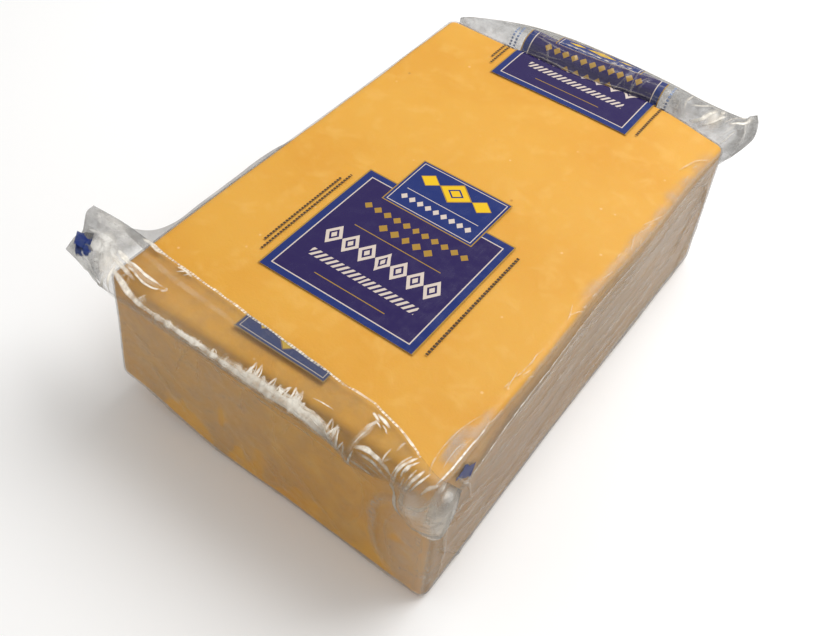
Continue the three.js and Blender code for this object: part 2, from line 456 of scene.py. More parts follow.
def loaf_skin(steps):
    """Points and quads of the loaf's skin."""
    grid, quads = skin_grid(steps)
    box = np.stack((
        spread(grid[:, 0], steps[0], -HALF_WIDTH, HALF_WIDTH, UPRIGHT_ROUND, UPRIGHT_ROUND),
        spread(grid[:, 1], steps[1], -HALF_LENGTH, HALF_LENGTH, UPRIGHT_ROUND, UPRIGHT_ROUND),
        spread(grid[:, 2], steps[2], 0.0, HEIGHT, BASE_ROUND, TOP_ROUND),
    ), axis=1)
    return settle(round_off(box)), quads


def vertex_normals(points, quads):
    corners = points[quads]
    face = np.cross(corners[:, 2] - corners[:, 0], corners[:, 3] - corners[:, 1])
    total = np.zeros_like(points)
    for corner in range(4):
        np.add.at(total, quads[:, corner], face)
    return total / np.maximum(np.linalg.norm(total, axis=1, keepdims=True), 1e-9)


def spline(rows, count):
    """Points of the smooth curve through rows of points."""
    last = len(rows) - 1
    ends = np.concatenate([[2 * rows[0] - rows[1]], rows, [2 * rows[-1] - rows[-2]]])
    turn = np.linspace(0, last, count + 1)
    index = np.minimum(turn.astype(int), last - 1)
    part = (turn - index).reshape((-1,) + (1,) * (rows.ndim - 1))
    before, start, end, after = (ends[index + k] for k in range(4))
    leave, arrive = (end - before) / 2, (after - start) / 2
    square = (3 * (end - start) - 2 * leave - arrive) * part ** 2
    return start + leave * part + square + (2 * (start - end) + leave + arrive) * part ** 3


def surface_through(stations, steps):
    """The smooth surface through a row of stations, as rows across the bag."""
    across, along = steps
    lines = spline(np.array(stations, float).transpose(1, 0, 2), along).transpose(1, 0, 2)
    return spline(lines, across)


def surface_normals(surface):
    normal = np.cross(np.gradient(surface, axis=0), np.gradient(surface, axis=1))
    return normal / np.linalg.norm(normal, axis=-1, keepdims=True)


def lap_edge(x):
    return LAP_MIDDLE_EDGE - LAP_SKEW * x - 0.011 * max(0, x - 50) ** 2


def stand_edge(x):
    return STAND_MIDDLE_EDGE - 0.0012 * (x - 12) ** 2 - 0.0035 * max(0, -20 - x) ** 2


def between(low, high, share):
    return low + (high - low) * share


def lap_station(x):
    """Root, belly, shoulder, lap and cut edge of the end that is folded over the loaf."""
    face = -HALF_LENGTH
    sag = 6 * float(bump(x - 54, 22))
    edge = lap_edge(x)
    return [
        (x, face + 2, TAIL_ROOT_HEIGHT - 1 - sag),
        (x, face - LAP_BELLY, TAIL_ROOT_HEIGHT + 5 - sag),
        (x, face - LAP_BELLY + 1, HEIGHT - 1),
        (x, between(face, edge, 0.3), LAP_HEIGHT + 0.6),
        (x, edge, LAP_HEIGHT),
    ]


def stand_station(x):
    """Root, rise, crest, run and cut edge of the end that stands out behind the loaf."""
    face = HALF_LENGTH + float(far_swell(x, HEIGHT))
    edge = stand_edge(x)
    lift = float(smoothstep(edge - face, 0, 16))
    return [
        (x, face - 4, TAIL_ROOT_HEIGHT - 2),
        (x, face + 2, TAIL_ROOT_HEIGHT + 7),
        (x, between(face + 2, edge, 0.2), HEIGHT + 2 * lift),
        (x, between(face + 2, edge, 0.55), STAND_HEIGHT - 3 * (1 - lift)),
        (x, edge, STAND_HEIGHT - 1 - 3 * (1 - lift)),
    ]


# Wrinkles. A crease is (points, width, rise, light): its path in a face's own two directions, half its
# width and its height in millimetres, and how bright the painted highlight strip along its ridge is.

def crease_path(points):
    """Places about every 0.7 mm along the smooth line through a crease's points, with a slight wobble."""
    rows = np.array(points, float)
    length = np.linalg.norm(np.diff(rows, axis=0), axis=1).sum()
    path = spline(rows, max(6, int(length / 0.7)))
    return path + 0.35 * np.stack((noise_field(path, 5, 5), noise_field(path, 5, 6)), axis=1)


def crease_fade(count):
    """0 at both ends of a crease, 1 along its middle."""
    return np.sin(math.pi * np.linspace(0.0, 1.0, count)) ** 0.6


def crease_field(places, creases, least):
    """Height of the creases at each place, and how sharp they are there. None is narrower than the least."""
    height, sharp = np.zeros(len(places)), np.zeros(len(places))
    for points, width, rise, _ in creases:
        path = crease_path(points)
        rise *= min(1.0, width / least) ** 0.5
        width = max(width, least)
        fade = crease_fade(len(path))
        low, high = path.min(axis=0) - 3 * width, path.max(axis=0) + 3 * width
        near = np.flatnonzero(((places > low) & (places < high)).all(axis=1))
        for part in np.array_split(near, 1 + len(near) * len(path) // 4000000):
            away = np.linalg.norm(places[part, None, :] - path[None, :, :], axis=2)
            closest = away.argmin(axis=1)
            away = away[np.arange(len(part)), closest]
            height[part] += rise * fade[closest] * np.exp(-(away / width) ** 2)
            share = np.exp(-(away / (0.7 * width)) ** 2) * fade[closest] * min(1.0, abs(rise))
            sharp[part] = np.maximum(sharp[part], share)
    return np.minimum(height, 2.2), sharp


def scattered(seed, count, first, second, turn, length, width, rise, light=(0.0, 0.0)):
    """Creases at random in a box, each pair being a range."""
    rng = np.random.default_rng(seed)
    creases = []
    for _ in range(count):
        start = np.array((rng.uniform(*first), rng.uniform(*second)))
        angle = math.radians(rng.uniform(*turn))
        way = np.array((math.cos(angle), math.sin(angle)))
        reach = rng.uniform(*length)
        middle = start + 0.5 * reach * way + rng.uniform(-0.06, 0.06) * reach * way[::-1]
        points = (start, middle, start + reach * way)
        creases.append((points, rng.uniform(*width), rng.uniform(*rise), rng.uniform(*light)))
    return creases


def spikes(seed, count, first, foot, tall, light):
    """Short folds that stand up from a long one like flames."""
    rng = np.random.default_rng(seed)
    creases = []
    for _ in range(count):
        x, rise = rng.uniform(*first), rng.uniform(*tall)
        lean, step, shine = rng.uniform(-2.5, 1.5), rng.uniform(0.8, 3.0), rng.uniform(*light)
        tip, low = (x + lean, foot + rise), foot - rng.uniform(1.0, 3.0)
        creases.append((((x, low), (x + 0.2 * lean, foot + 0.4 * rise), tip), rng.uniform(0.5, 1.3), 0.5, shine))
        creases.append(((tip, (x + 0.7 * step, foot + 0.4 * rise), (x + step, low)), 0.5, 0.4, 0.8 * shine))
        side = x + rng.uniform(-2.0, 2.0)
        creases.append((((side, low), (side + 0.4 * lean, foot + 0.35 * rise)), 1.6, 0.4, 0.6 * shine))
    return creases


def right_side_creases():
    """Long creases along the loaf, and fans from the roots of both ends. Places are (y, z)."""
    creases = [
        (((-130, 62), (-104, 68), (-84, 72.5), (-60, 75.5), (-9, 76.5), (24, 75)), 0.7, 0.9, 0.85),
        (((-60, 76), (0, 77.5), (60, 77), (110, 74)), 0.6, 0.6, 0.45),
        (((-132, 66), (-90, 69), (-40, 70), (10, 68)), 0.8, 0.6, 0.35),
        (((-20, 80), (20, 81), (70, 80), (120, 77)), 0.8, 0.4, 0.2),
        (((-136, 79), (-131, 60), (-128, 30), (-131, 6)), 2.4, 0.8, 0.3),
        (((-125, 83), (-119, 72), (-112, 60), (-108, 44)), 1.6, 0.7, 0.35),
        (((-128, 80), (-123, 66), (-120, 50)), 0.7, 0.6, 0.5),
        (((118, 70), (126, 60), (131, 40), (132, 14)), 1.8, 0.8, 0.3),
    ]
    creases += scattered(21, 46, (-132, 50), (5, 71), (-3, 3), (40, 160), (0.4, 0.7), (0.2, 0.45), (0.0, 0.26))
    creases += scattered(22, 9, (-136, -128), (30, 72), (-62, -15), (30, 70), (0.7, 1.2), (0.4, 0.8), (0.0, 0.3))
    creases += scattered(23, 8, (124, 135), (30, 78), (195, 240), (25, 60), (0.7, 1.2), (0.4, 0.8), (0.0, 0.3))
    return creases


def near_creases():
    """The line of the root, soft slanting folds and the loose fold at the right. Places are (x, z)."""
    creases = [
        (((-86, 79), (-60, 76), (-25, 74), (10, 72.5), (45, 71), (66, 67)), 0.9, 0.8, 0.38),
        (((-80, 75), (-40, 71.5), (0, 69.5), (40, 67), (62, 63)), 0.8, 0.5, 0.2),
        (((-30, 71), (8, 69), (44, 66), (60, 60)), 0.7, 0.4, 0.2),
        (((74, 67), (65, 58), (62, 44), (65, 25), (77, 3)), 4.4, 1.0, 0.20),
        (((66, 50), (64, 40), (66, 26), (73, 10)), 1.6, 0.8, 0.14),
        (((80, 62), (71, 50), (70, 34), (77, 14)), 1.2, 0.8, 0.10),
        (((48, 70), (56, 55), (57, 38), (50, 20)), 1.2, 0.6, 0.06),
    ]
    creases += scattered(31, 22, (-82, 60), (69, 74), (-115, -70), (6, 30), (0.7, 1.3), (0.3, 0.6), (0.0, 0.10))
    creases += scattered(32, 14, (-86, 20), (14, 62), (-60, -20), (18, 60), (1.2, 3.0), (0.2, 0.5), (0.0, 0.08))
    creases += scattered(33, 9, (-80, 80), (3, 16), (-10, 10), (20, 55), (0.8, 1.5), (0.3, 0.5), (0.0, 0.07))
    return creases


def top_creases():
    """Small creases by the right edge of the top, where the film leaves the cheese. Places are (x, y)."""
    creases = [
        (((87.0, -137), (87.8, -131), (88.4, -122), (88.2, -108), (87.3, -96)), 0.8, 0.4, 0.85),
        (((85.5, -128), (84.5, -120), (85.5, -110)), 0.6, 0.3, 0.4),
        (((83, -134), (80.6, -126), (80.2, -110), (84.0, -96)), 0.6, 0.25, 0.30),
        (((78, 100), (81, 112), (87, 122)), 0.9, 0.25, 0.35),
    ]
    creases += scattered(41, 14, (83, 88), (-128, -50), (70, 110), (4, 14), (0.4, 0.7), (0.12, 0.25), (0.0, 0.35))
    creases += scattered(42, 22, (82, 88), (-40, 120), (65, 115), (4, 16), (0.4, 0.7), (0.12, 0.25), (0.0, 0.3))
    return creases


def left_creases():
    creases = scattered(51, 22, (-135, 40), (8, 72), (-4, 4), (50, 150), (0.7, 1.2), (0.2, 0.6), (0.0, 0.3))
    creases += scattered(52, 7, (-136, -126), (40, 72), (-60, -15), (30, 60), (0.8, 1.4), (0.4, 0.8), (0.0, 0.3))
    return creases


def far_creases():
    creases = scattered(61, 26, (-75, 75), (71, 75), (-112, -68), (8, 40), (0.7, 1.3), (0.3, 0.8), (0.0, 0.3))
    creases += scattered(62, 14, (-86, 20), (8, 60), (-30, 15), (30, 90), (1.0, 2.0), (0.2, 0.5), (0.0, 0.15))
    return creases


def folded_end_creases():
    """Creases of the folded end. Places are (across, distance from the root)."""
    creases = [
        (((-87, 17.5), (-79, 16.5), (-70, 15.5), (-60, 15)), 2.2, 0.6, 0.95),
        (((-68, 15.4), (-42, 15), (-18, 14.2), (2, 14.2)), 2.4, 0.9, 0.80),
        (((-66, 15.8), (-42, 15.4), (-18, 14.4), (2, 14.8)), 0.8, 0.6, 0.9),
        (((-48, 13.6), (-30, 13.2), (-8, 12.6), (20, 13.6)), 0.8, 0.6, 0.6),
        (((-22, 14.4), (4, 15.0), (28, 15.0), (50, 12.4)), 4.6, 0.9, 0.66),
        (((-14, 15.6), (10, 15.8), (35, 15.4), (49, 12.5)), 1.6, 0.7, 0.95),
        (((-8, 13.4), (12, 13.6), (34, 13.4), (52, 10)), 1.5, 0.6, 0.95),
        (((10, 17.4), (26, 17.2), (42, 16.0)), 1.4, 0.5, 0.6),
        (((38, 13), (40.6, 17), (42.6, 20.6)), 0.9, 0.5, 0.9),
        (((42.8, 20.4), (44.2, 16), (45.4, 11)), 0.7, 0.5, 0.8),
        (((45.0, 12), (46.2, 16), (47.2, 18.8)), 0.8, 0.5, 0.85),
        (((47.4, 18.4), (48.4, 13), (49.8, 8)), 1.0, 0.5, 0.95),
        (((50.0, 8), (51.0, 14), (52.4, 19.5)), 1.1, 0.5, 0.95),
        (((46, 13), (50.5, 10.5), (53.5, 6)), 1.4, 0.6, 0.7),
        (((-86, 23.4), (-81.4, 26), (-73, 26.6), (-61.6, 27.8)), 1.3, 0.5, 0.95),
        (((-62, 28.6), (-60.6, 27.0), (-63, 25.4)), 1.2, 0.5, 0.9),
        (((-62.6, 26.6), (-66, 24.4), (-72.2, 23.2), (-79.1, 23.8), (-84, 22.9)), 1.0, 0.5, 0.9),
        (((-84, 24.6), (-74, 25.0), (-64, 26.4)), 2.2, 0.3, 0.30),
        (((-94, 23.9), (-87, 24.8), (-80.4, 24.4)), 2.4, 0.6, 0.95),
        (((-90, 21), (-85, 22), (-80, 20.5)), 0.9, 0.5, 0.6),
        (((-87.5, 20), (-85.5, 14), (-83.2, 8)), 1.2, 0.6, 0.85),
        (((24.6, 22.2), (36.1, 23.1)), 0.6, 0.3, 0.7),
        (((50.5, 17), (52.2, 26), (52.6, 34)), 3.0, 0.7, 0.22),
        (((51.0, 18), (52.1, 25), (52.7, 33)), 0.9, 0.6, 0.45),
        (((51.4, 28), (52.2, 32), (53.4, 36)), 1.8, 0.5, 0.5),
        (((48.6, 36.8), (51.0, 36.2), (53.4, 35.0)), 1.2, 0.5, 0.8),
        (((50.6, 37.9), (54.5, 36.8), (58.4, 34.8)), 1.5, 0.5, 0.9),
        (((51.8, 34.4), (54.0, 33.8), (56.0, 32.6)), 0.9, 0.4, 0.7),
        (((55.0, 34.8), (57.4, 33.4), (59.0, 31.6)), 0.8, 0.4, 0.6),
        (((51.5, 20.6), (56.6, 22.0), (61.5, 21.0), (67.5, 18.1), (73.4, 14.4)), 1.9, 0.6, 0.95),
        (((50, 14), (58, 12.6), (66, 8.6)), 1.4, 0.6, 0.6),
        (((54, 19.6), (61, 18.6), (67, 15.2), (72, 11.6)), 1.5, 0.5, 0.9),
        (((57, 16), (64, 13.6), (69, 10)), 0.8, 0.4, 0.5),
        (((74.4, 14), (72.2, 21), (71.9, 29.5)), 1.0, 0.5, 0.95),
        (((72.6, 15), (70.9, 22), (70.6, 28)), 0.8, 0.5, 0.85),
        (((76.0, 16), (73.6, 22), (73.6, 28)), 0.8, 0.5, 0.8),
        (((75.2, 19), (72.9, 24)), 1.4, 0.5, 0.7),
        (((66, 26), (65, 33)), 1.0, 0.5, 0.4),
        (((81.4, 12.0), (79.3, 18.5), (76.8, 26.0)), 1.2, 0.5, 0.95),
        (((83.0, 14.0), (80.8, 20.0), (78.6, 27.0)), 0.8, 0.5, 0.8),
        (((79.8, 12.0), (77.6, 19.0), (75.6, 24.0)), 0.7, 0.5, 0.7),
        (((86, 18), (84.5, 23), (86, 28)), 1.2, 0.5, 0.6),
        (((99.5, 17), (95.6, 22.6), (89.6, 26.4)), 3.4, 0.5, 0.55),
        (((96.6, 28), (97.7, 33), (98.6, 39)), 3.0, 0.5, 0.85),
        (((101, 12), (103, 20), (103, 30)), 1.4, 0.5, 0.5),
        (((73, 18), (76, 8), (80, 2.4), (94, 1.8), (105, 2.2), (110, 5)), 2.2, 0.5, 1.0),
        (((109, 5), (107.4, 14), (110, 21), (108.4, 28), (106.4, 38)), 1.6, 0.5, 0.95),
        (((78, 20), (84, 9), (96, 6.6), (104, 10)), 2.4, 0.4, 0.45),
        (((-122, 1.4), (-105, 1.8), (-88, 1.4)), 2.4, 0.5, 1.0),
        (((-119, 4.8), (-106, 5.2), (-92, 4.4)), 1.0, 0.5, 0.6),
        (((-96, 2), (-90, 7), (-88, 14)), 1.4, 0.5, 0.9),
        (((-112.5, 13.4), (-104, 14.4), (-96.5, 17.8), (-91.6, 23)), 4.8, 0.5, 1.0),
        (((-109, 18.4), (-101, 20), (-94.5, 23.6)), 2.6, 0.5, 0.95),
        (((-104, 8), (-98, 11), (-91, 16)), 1.6, 0.5, 0.6),
        (((-99, 21), (-93, 20), (-88, 22)), 1.6, 0.5, 0.7),
        (((-119, 26.0), (-109.5, 25.6), (-98.3, 28.0), (-86.8, 34.6)), 4.4, 0.4, 0.5),
        (((-90, 34), (-60, 34), (-20, 31)), 2.4, 0.3, 0.14),
        (((-90.5, 38.2), (-85.7, 40.2), (-80, 40.6), (-75, 41.6)), 1.9, 0.4, 0.85),
        (((-68.0, 40.4), (-64, 41.4), (-58.5, 40.4)), 1.3, 0.4, 0.9),
        (((-66, 37.4), (-63.8, 40.5), (-62.6, 43.0)), 1.0, 0.4, 0.8),
        (((-62.2, 38.0), (-61.0, 40.6), (-60.2, 42.4)), 0.8, 0.4, 0.7),
    ]
    creases += spikes(71, 20, (-6, 44), 15.5, (2.5, 7.5), (0.5, 0.95))
    creases += spikes(76, 8, (-58, -8), 14.5, (1.5, 3.5), (0.3, 0.6))
    creases += spikes(72, 6, (-90, -60), 17.0, (2.0, 4.0), (0.1, 0.4))
    creases += scattered(77, 6, (56, 84), (8, 18), (50, 120), (6, 15), (0.5, 0.9), (0.3, 0.6), (0.1, 0.5))
    creases += scattered(74, 14, (-122, -90), (6, 30), (-50, 50), (7, 18), (0.6, 1.5), (0.4, 0.9), (0.2, 0.7))
    creases += scattered(75, 12, (84, 110), (4, 30), (20, 110), (8, 20), (0.6, 1.6), (0.4, 0.8), (0.2, 0.6))
    return creases


def standing_end_creases():
    creases = [
        (((-62, 10), (-30, 13), (0, 12), (34, 14), (60, 12)), 0.8, 0.8, 0.25),
        (((-40, 24), (-12, 27), (20, 25), (44, 27)), 0.7, 0.6, 0.35),
        (((64, 12), (70, 17), (76, 26)), 2.0, 0.8, 0.95),
        (((70, 12), (77, 19), (82, 27)), 1.2, 0.8, 0.8),
        (((60, 20), (68, 24), (74, 31)), 1.0, 0.7, 0.6),
        (((84, 22), (92, 26), (102, 27)), 1.3, 0.8, 0.9),
        (((88, 31), (97, 32), (104, 30)), 1.1, 0.7, 0.8),
        (((78, 33), (90, 36), (104, 36)), 0.8, 0.6, 0.5),
    ]
    creases += scattered(81, 20, (-50, 50), (8, 24), (55, 125), (7, 20), (0.5, 1.1), (0.3, 0.8), (0.0, 0.22))
    creases += scattered(82, 18, (52, 108), (4, 28), (35, 125), (8, 24), (0.6, 1.3), (0.5, 1.0), (0.1, 0.6))
    creases += scattered(83, 10, (-80, 50), (14, 34), (-12, 12), (14, 44), (0.6, 1.2), (0.3, 0.7), (0.0, 0.25))
    return creases


# Meshes

def new_piece(name, points, quads, materials, values=None, slots=None):
    """Makes a smooth mesh object from millimetres, which stands for the CAD solid and moves with it."""
    mesh = bpy.data.meshes.new(name)
    mesh.from_pydata((points * METRE).tolist(), [], quads.tolist())
    for material in materials:
        mesh.materials.append(material)
    if slots is not None:
        mesh.polygons.foreach_set("material_index", slots.astype(np.int32))
    for key, value in (values or {}).items():
        kind = "FLOAT" if value.ndim == 1 else "FLOAT_VECTOR"
        store = mesh.attributes.new(key, kind, "POINT")
        store.data.foreach_set("value" if value.ndim == 1 else "vector", value.astype(np.float32).ravel())
    mesh.polygons.foreach_set("use_smooth", [True] * len(mesh.polygons))
    mesh.validate()
    piece = bpy.data.objects.new(name, mesh)
    bpy.context.scene.collection.objects.link(piece)
    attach(piece, "root")
    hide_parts(SOLID)
    return piece


def layers_of(outer, inner):
    """One flat pouch from two layers, joined at the cut edge and at both side folds, open at the root."""
    rows, columns, _ = outer.shape
    index = np.arange(rows * columns).reshape(rows, columns)
    under = index + rows * columns
    under[0, :], under[-1, :], under[:, -1] = index[0, :], index[-1, :], index[:, -1]
    points = np.concatenate((outer.reshape(-1, 3), inner.reshape(-1, 3)))
    quads = np.concatenate((grid_quads(index), grid_quads(under)[:, ::-1]))
    used, quads = np.unique(quads, return_inverse=True)
    return points, quads.reshape(-1, 4), used


RIDGE = (np.array((-1.0, -0.55, 0.0, 0.55, 1.0)), np.array((0.0, 0.85, 1.0, 0.85, 0.0)))
FLAT = (np.array((-1.0, -0.4, 0.0, 0.4, 1.0)), np.array((1.0, 1.0, 1.0, 1.0, 1.0)))


def strips_along(creases, place_of, profile=RIDGE, dash=0.0):
    """Narrow strips over the creases: their points, quads and each point's shine. Over the bright creases they carry
    painted highlights; the ink scraps are made from them too.
    """
    points, quads, shine, start = [], [], [], 0
    for line, width, rise, light in creases:
        path = crease_path(line)
        spots, normals = place_of(path)
        if light < 0.05 or len(spots) < 6:
            continue
        fade = crease_fade(len(spots)) if profile is RIDGE else np.ones(len(spots))
        side = np.cross(normals, np.gradient(spots, axis=0))
        side /= np.maximum(np.linalg.norm(side, axis=1, keepdims=True), 1e-9)
        swell = 1.0 + 0.35 * noise_field(spots, 3.0, 9)
        half = (0.30 + 0.45 * fade) * width * swell
        row = spots[:, None] + side[:, None] * (half[:, None] * profile[0])[..., None]
        high = 0.10 + 0.22 * rise * fade[:, None] * profile[1]
        row = row + normals[:, None] * high[..., None]
        # How bright the painted highlight is along the strip.
        bright = light * fade * np.clip(0.85 + 0.6 * noise_field(spots, 2.2, 10), 0, 1)
        if dash:
            turn = np.arange(len(spots)) * 0.7 / dash % 1.0
            bright = bright * np.where(turn < 0.55, 1.0, 0.4)
        index = start + np.arange(row.shape[0] * 5).reshape(-1, 5)
        points.append(row.reshape(-1, 3))
        quads.append(grid_quads(index))
        shine.append((bright[:, None] * profile[1]).ravel())
        start += index.size
    return np.concatenate(points), np.concatenate(quads), np.concatenate(shine)


def seen_from(tree, far, first, second, away):
    """Looks at a skin from outside along one axis, and gives places and normals for a face's own places."""
    axis = 3 - first - second
    way = [0.0, 0.0, 0.0]
    way[axis] = -away

    def place_of(path):
        spots, normals = [], []
        for place in path:
            eye = [0.0, 0.0, 0.0]
            eye[first], eye[second], eye[axis] = place[0], place[1], far * away
            spot, normal, _, _ = tree.ray_cast(eye, way)
            if spot and abs(normal[axis]) > 0.3:
                spots.append(tuple(spot))
                normals.append(tuple(normal if normal[axis] * away > 0 else -normal))
        return np.array(spots).reshape(-1, 3), np.array(normals).reshape(-1, 3)

    return place_of


def on_sheet(sheet, across, along):
    """Gives places and normals on a sheet for places (across, distance from the root)."""
    normals = surface_normals(sheet)
    rows, columns, _ = sheet.shape

    def place_of(path):
        row = np.interp(path[:, 0], across, np.arange(rows), left=-1, right=-1)
        whole = np.clip(row.astype(int), 0, rows - 2)
        column = np.array([
            np.interp(distance, along[index], np.arange(columns), left=-1, right=-1)
            for distance, index in zip(path[:, 1], whole)
        ])
        inside = (row >= 0) & (column >= 0)
        row, column, whole = row[inside], column[inside], whole[inside]
        start = np.clip(column.astype(int), 0, columns - 2)
        a, b = (row - whole)[:, None], (column - start)[:, None]
        found = []
        for field in (sheet, normals):
            first = between(field[whole, start], field[whole + 1, start], a)
            second = between(field[whole, start + 1], field[whole + 1, start + 1], a)
            found.append(between(first, second, b))
        return found[0], found[1]

    return place_of


def painted_highlight_piece(name, parts):
    """One piece of painted highlight strips, from the strips of several faces."""
    points, quads, shine, start = [], [], [], 0
    for part_points, part_quads, part_shine in parts:
        points.append(part_points)
        quads.append(part_quads + start)
        shine.append(part_shine)
        start += len(part_points)
    points = np.concatenate(points)
    # Past the loaf's sides the painted highlight is a little fainter, and the material makes it whiter.
    free = smoothstep(np.abs(points[:, 0]), HALF_WIDTH - 1, HALF_WIDTH + 5)
    shine = (1.2 - 0.35 * free) * np.concatenate(shine)
    values = {"shine": np.clip(shine, 0, 1), "free": free}
    return new_piece(name, points, np.concatenate(quads), [painted_highlight_material()], values)


# Nodes

class Wiring:
    """Adds nodes to one tree in columns, and links the sockets that it is given."""

    def __init__(self, tree):
        self.tree = tree
        self.count = 0

    def add(self, kind, values=None, **settings):
        node = self.tree.nodes.new(kind)
        node.location = (-2200 + 190 * (self.count // 6), 500 - 190 * (self.count % 6))
        self.count += 1
        for key, value in settings.items():
            setattr(node, key, value)
        for key, value in (values or {}).items():
            if isinstance(value, bpy.types.NodeSocket):
                self.tree.links.new(value, node.inputs[key])
            else:
                node.inputs[key].default_value = value
        return node

    def math(self, operation, *values):
        return self.add("ShaderNodeMath", dict(enumerate(values)), operation=operation).outputs[0]

    def mix(self, under, over, share):
        values = {0: share, 6: opaque(under), 7: opaque(over)}
        return self.add("ShaderNodeMix", values, data_type="RGBA").outputs[2]

    def noise(self, place, scale, detail=2.0, roughness=0.5, distortion=0.0):
        values = {"Vector": place, "Scale": scale, "Detail": detail, "Roughness": roughness}
        values["Distortion"] = distortion
        return self.add("ShaderNodeTexNoise", values).outputs["Fac"]

    def ramp(self, value, low, high, to_low=0.0, to_high=1.0):
        values = {0: value, 1: low, 2: high, 3: to_low, 4: to_high}
        return self.add("ShaderNodeMapRange", values, interpolation_type="SMOOTHSTEP").outputs[0]

    def stretched(self, place, scale):
        values = {"Vector": place, "Scale": scale}
        return self.add("ShaderNodeMapping", values).outputs[0]

    def bump(self, height, distance, strength=1.0):
        values = {"Height": height, "Distance": distance, "Strength": strength}
        return self.add("ShaderNodeBump", values).outputs[0]


def opaque(colour):
    """A colour with its alpha, or a socket left as it is."""
    return colour if isinstance(colour, bpy.types.NodeSocket) else (*tuple(colour)[:3], 1.0)


def new_group(name, inputs, outputs):
    """A shader node group with named sockets, and its wiring, inputs and output node."""
    tree = bpy.data.node_groups.new(name, "ShaderNodeTree")
    for label, kind, default in inputs:
        socket = tree.interface.new_socket(name=label, in_out="INPUT", socket_type=kind)
        if default is not None:
            socket.default_value = default
    for label, kind in outputs:
        tree.interface.new_socket(name=label, in_out="OUTPUT", socket_type=kind)
    wiring = Wiring(tree)
    return tree, wiring, wiring.add("NodeGroupInput").outputs, tree.nodes.new("NodeGroupOutput")


def finish_group(tree, output, values):
    output.location = (2400, 0)
    for label, value in values.items():
        tree.links.new(value, output.inputs[label])
    return tree


def inset(wiring, u, v, centre_u, centre_v, half_u, half_v):
    """How far a place lies inside a rectangle."""
    from_u = wiring.math("SUBTRACT", half_u, wiring.math("ABSOLUTE", wiring.math("SUBTRACT", u, centre_u)))
    from_v = wiring.math("SUBTRACT", half_v, wiring.math("ABSOLUTE", wiring.math("SUBTRACT", v, centre_v)))
    return wiring.math("MINIMUM", from_u, from_v)


def bar(wiring, u, v, centre_u, centre_v, half_u, half_v):
    depth = inset(wiring, u, v, centre_u, centre_v, half_u, half_v)
    return wiring.math("GREATER_THAN", depth, 0.0)


def lozenge(wiring, u, v, centre_u, centre_v, half_u, half_v):
    """How far a place lies inside a lozenge, as a share of its size."""
    from_u = wiring.math("ABSOLUTE", wiring.math("DIVIDE", wiring.math("SUBTRACT", u, centre_u), half_u))
    from_v = wiring.math("ABSOLUTE", wiring.math("DIVIDE", wiring.math("SUBTRACT", v, centre_v), half_v))
    return wiring.math("SUBTRACT", 1.0, wiring.math("ADD", from_u, from_v))


def lozenge_row(wiring, u, v, middle, half_width, half_u, half_v, pitch):
    """How far a place lies inside the nearest of a row of lozenges, or below 0 past the row's ends."""
    share = wiring.math("FRACT", wiring.math("ADD", wiring.math("DIVIDE", u, pitch), 0.5))
    across = wiring.math("MULTIPLY", wiring.math("SUBTRACT", share, 0.5), pitch)
    depth = lozenge(wiring, across, v, 0.0, middle, half_u, half_v)
    within = bar(wiring, u, v, 0.0, middle, half_width, half_v)
    return wiring.math("SUBTRACT", wiring.math("MULTIPLY", wiring.math("ADD", depth, 9.0), within), 9.0)


def rope_row(wiring, u, v, middle, half_width, half_height, pitch):
    """A band of slanting bars, like a rope."""
    lean = wiring.math("MULTIPLY", wiring.math("SUBTRACT", v, middle), 0.6)
    share = wiring.math("FRACT", wiring.math("DIVIDE", wiring.math("SUBTRACT", u, lean), pitch))
    row = bar(wiring, u, v, 0.0, middle, half_width, half_height)
    return wiring.math("MULTIPLY", row, wiring.math("LESS_THAN", share, 0.52))


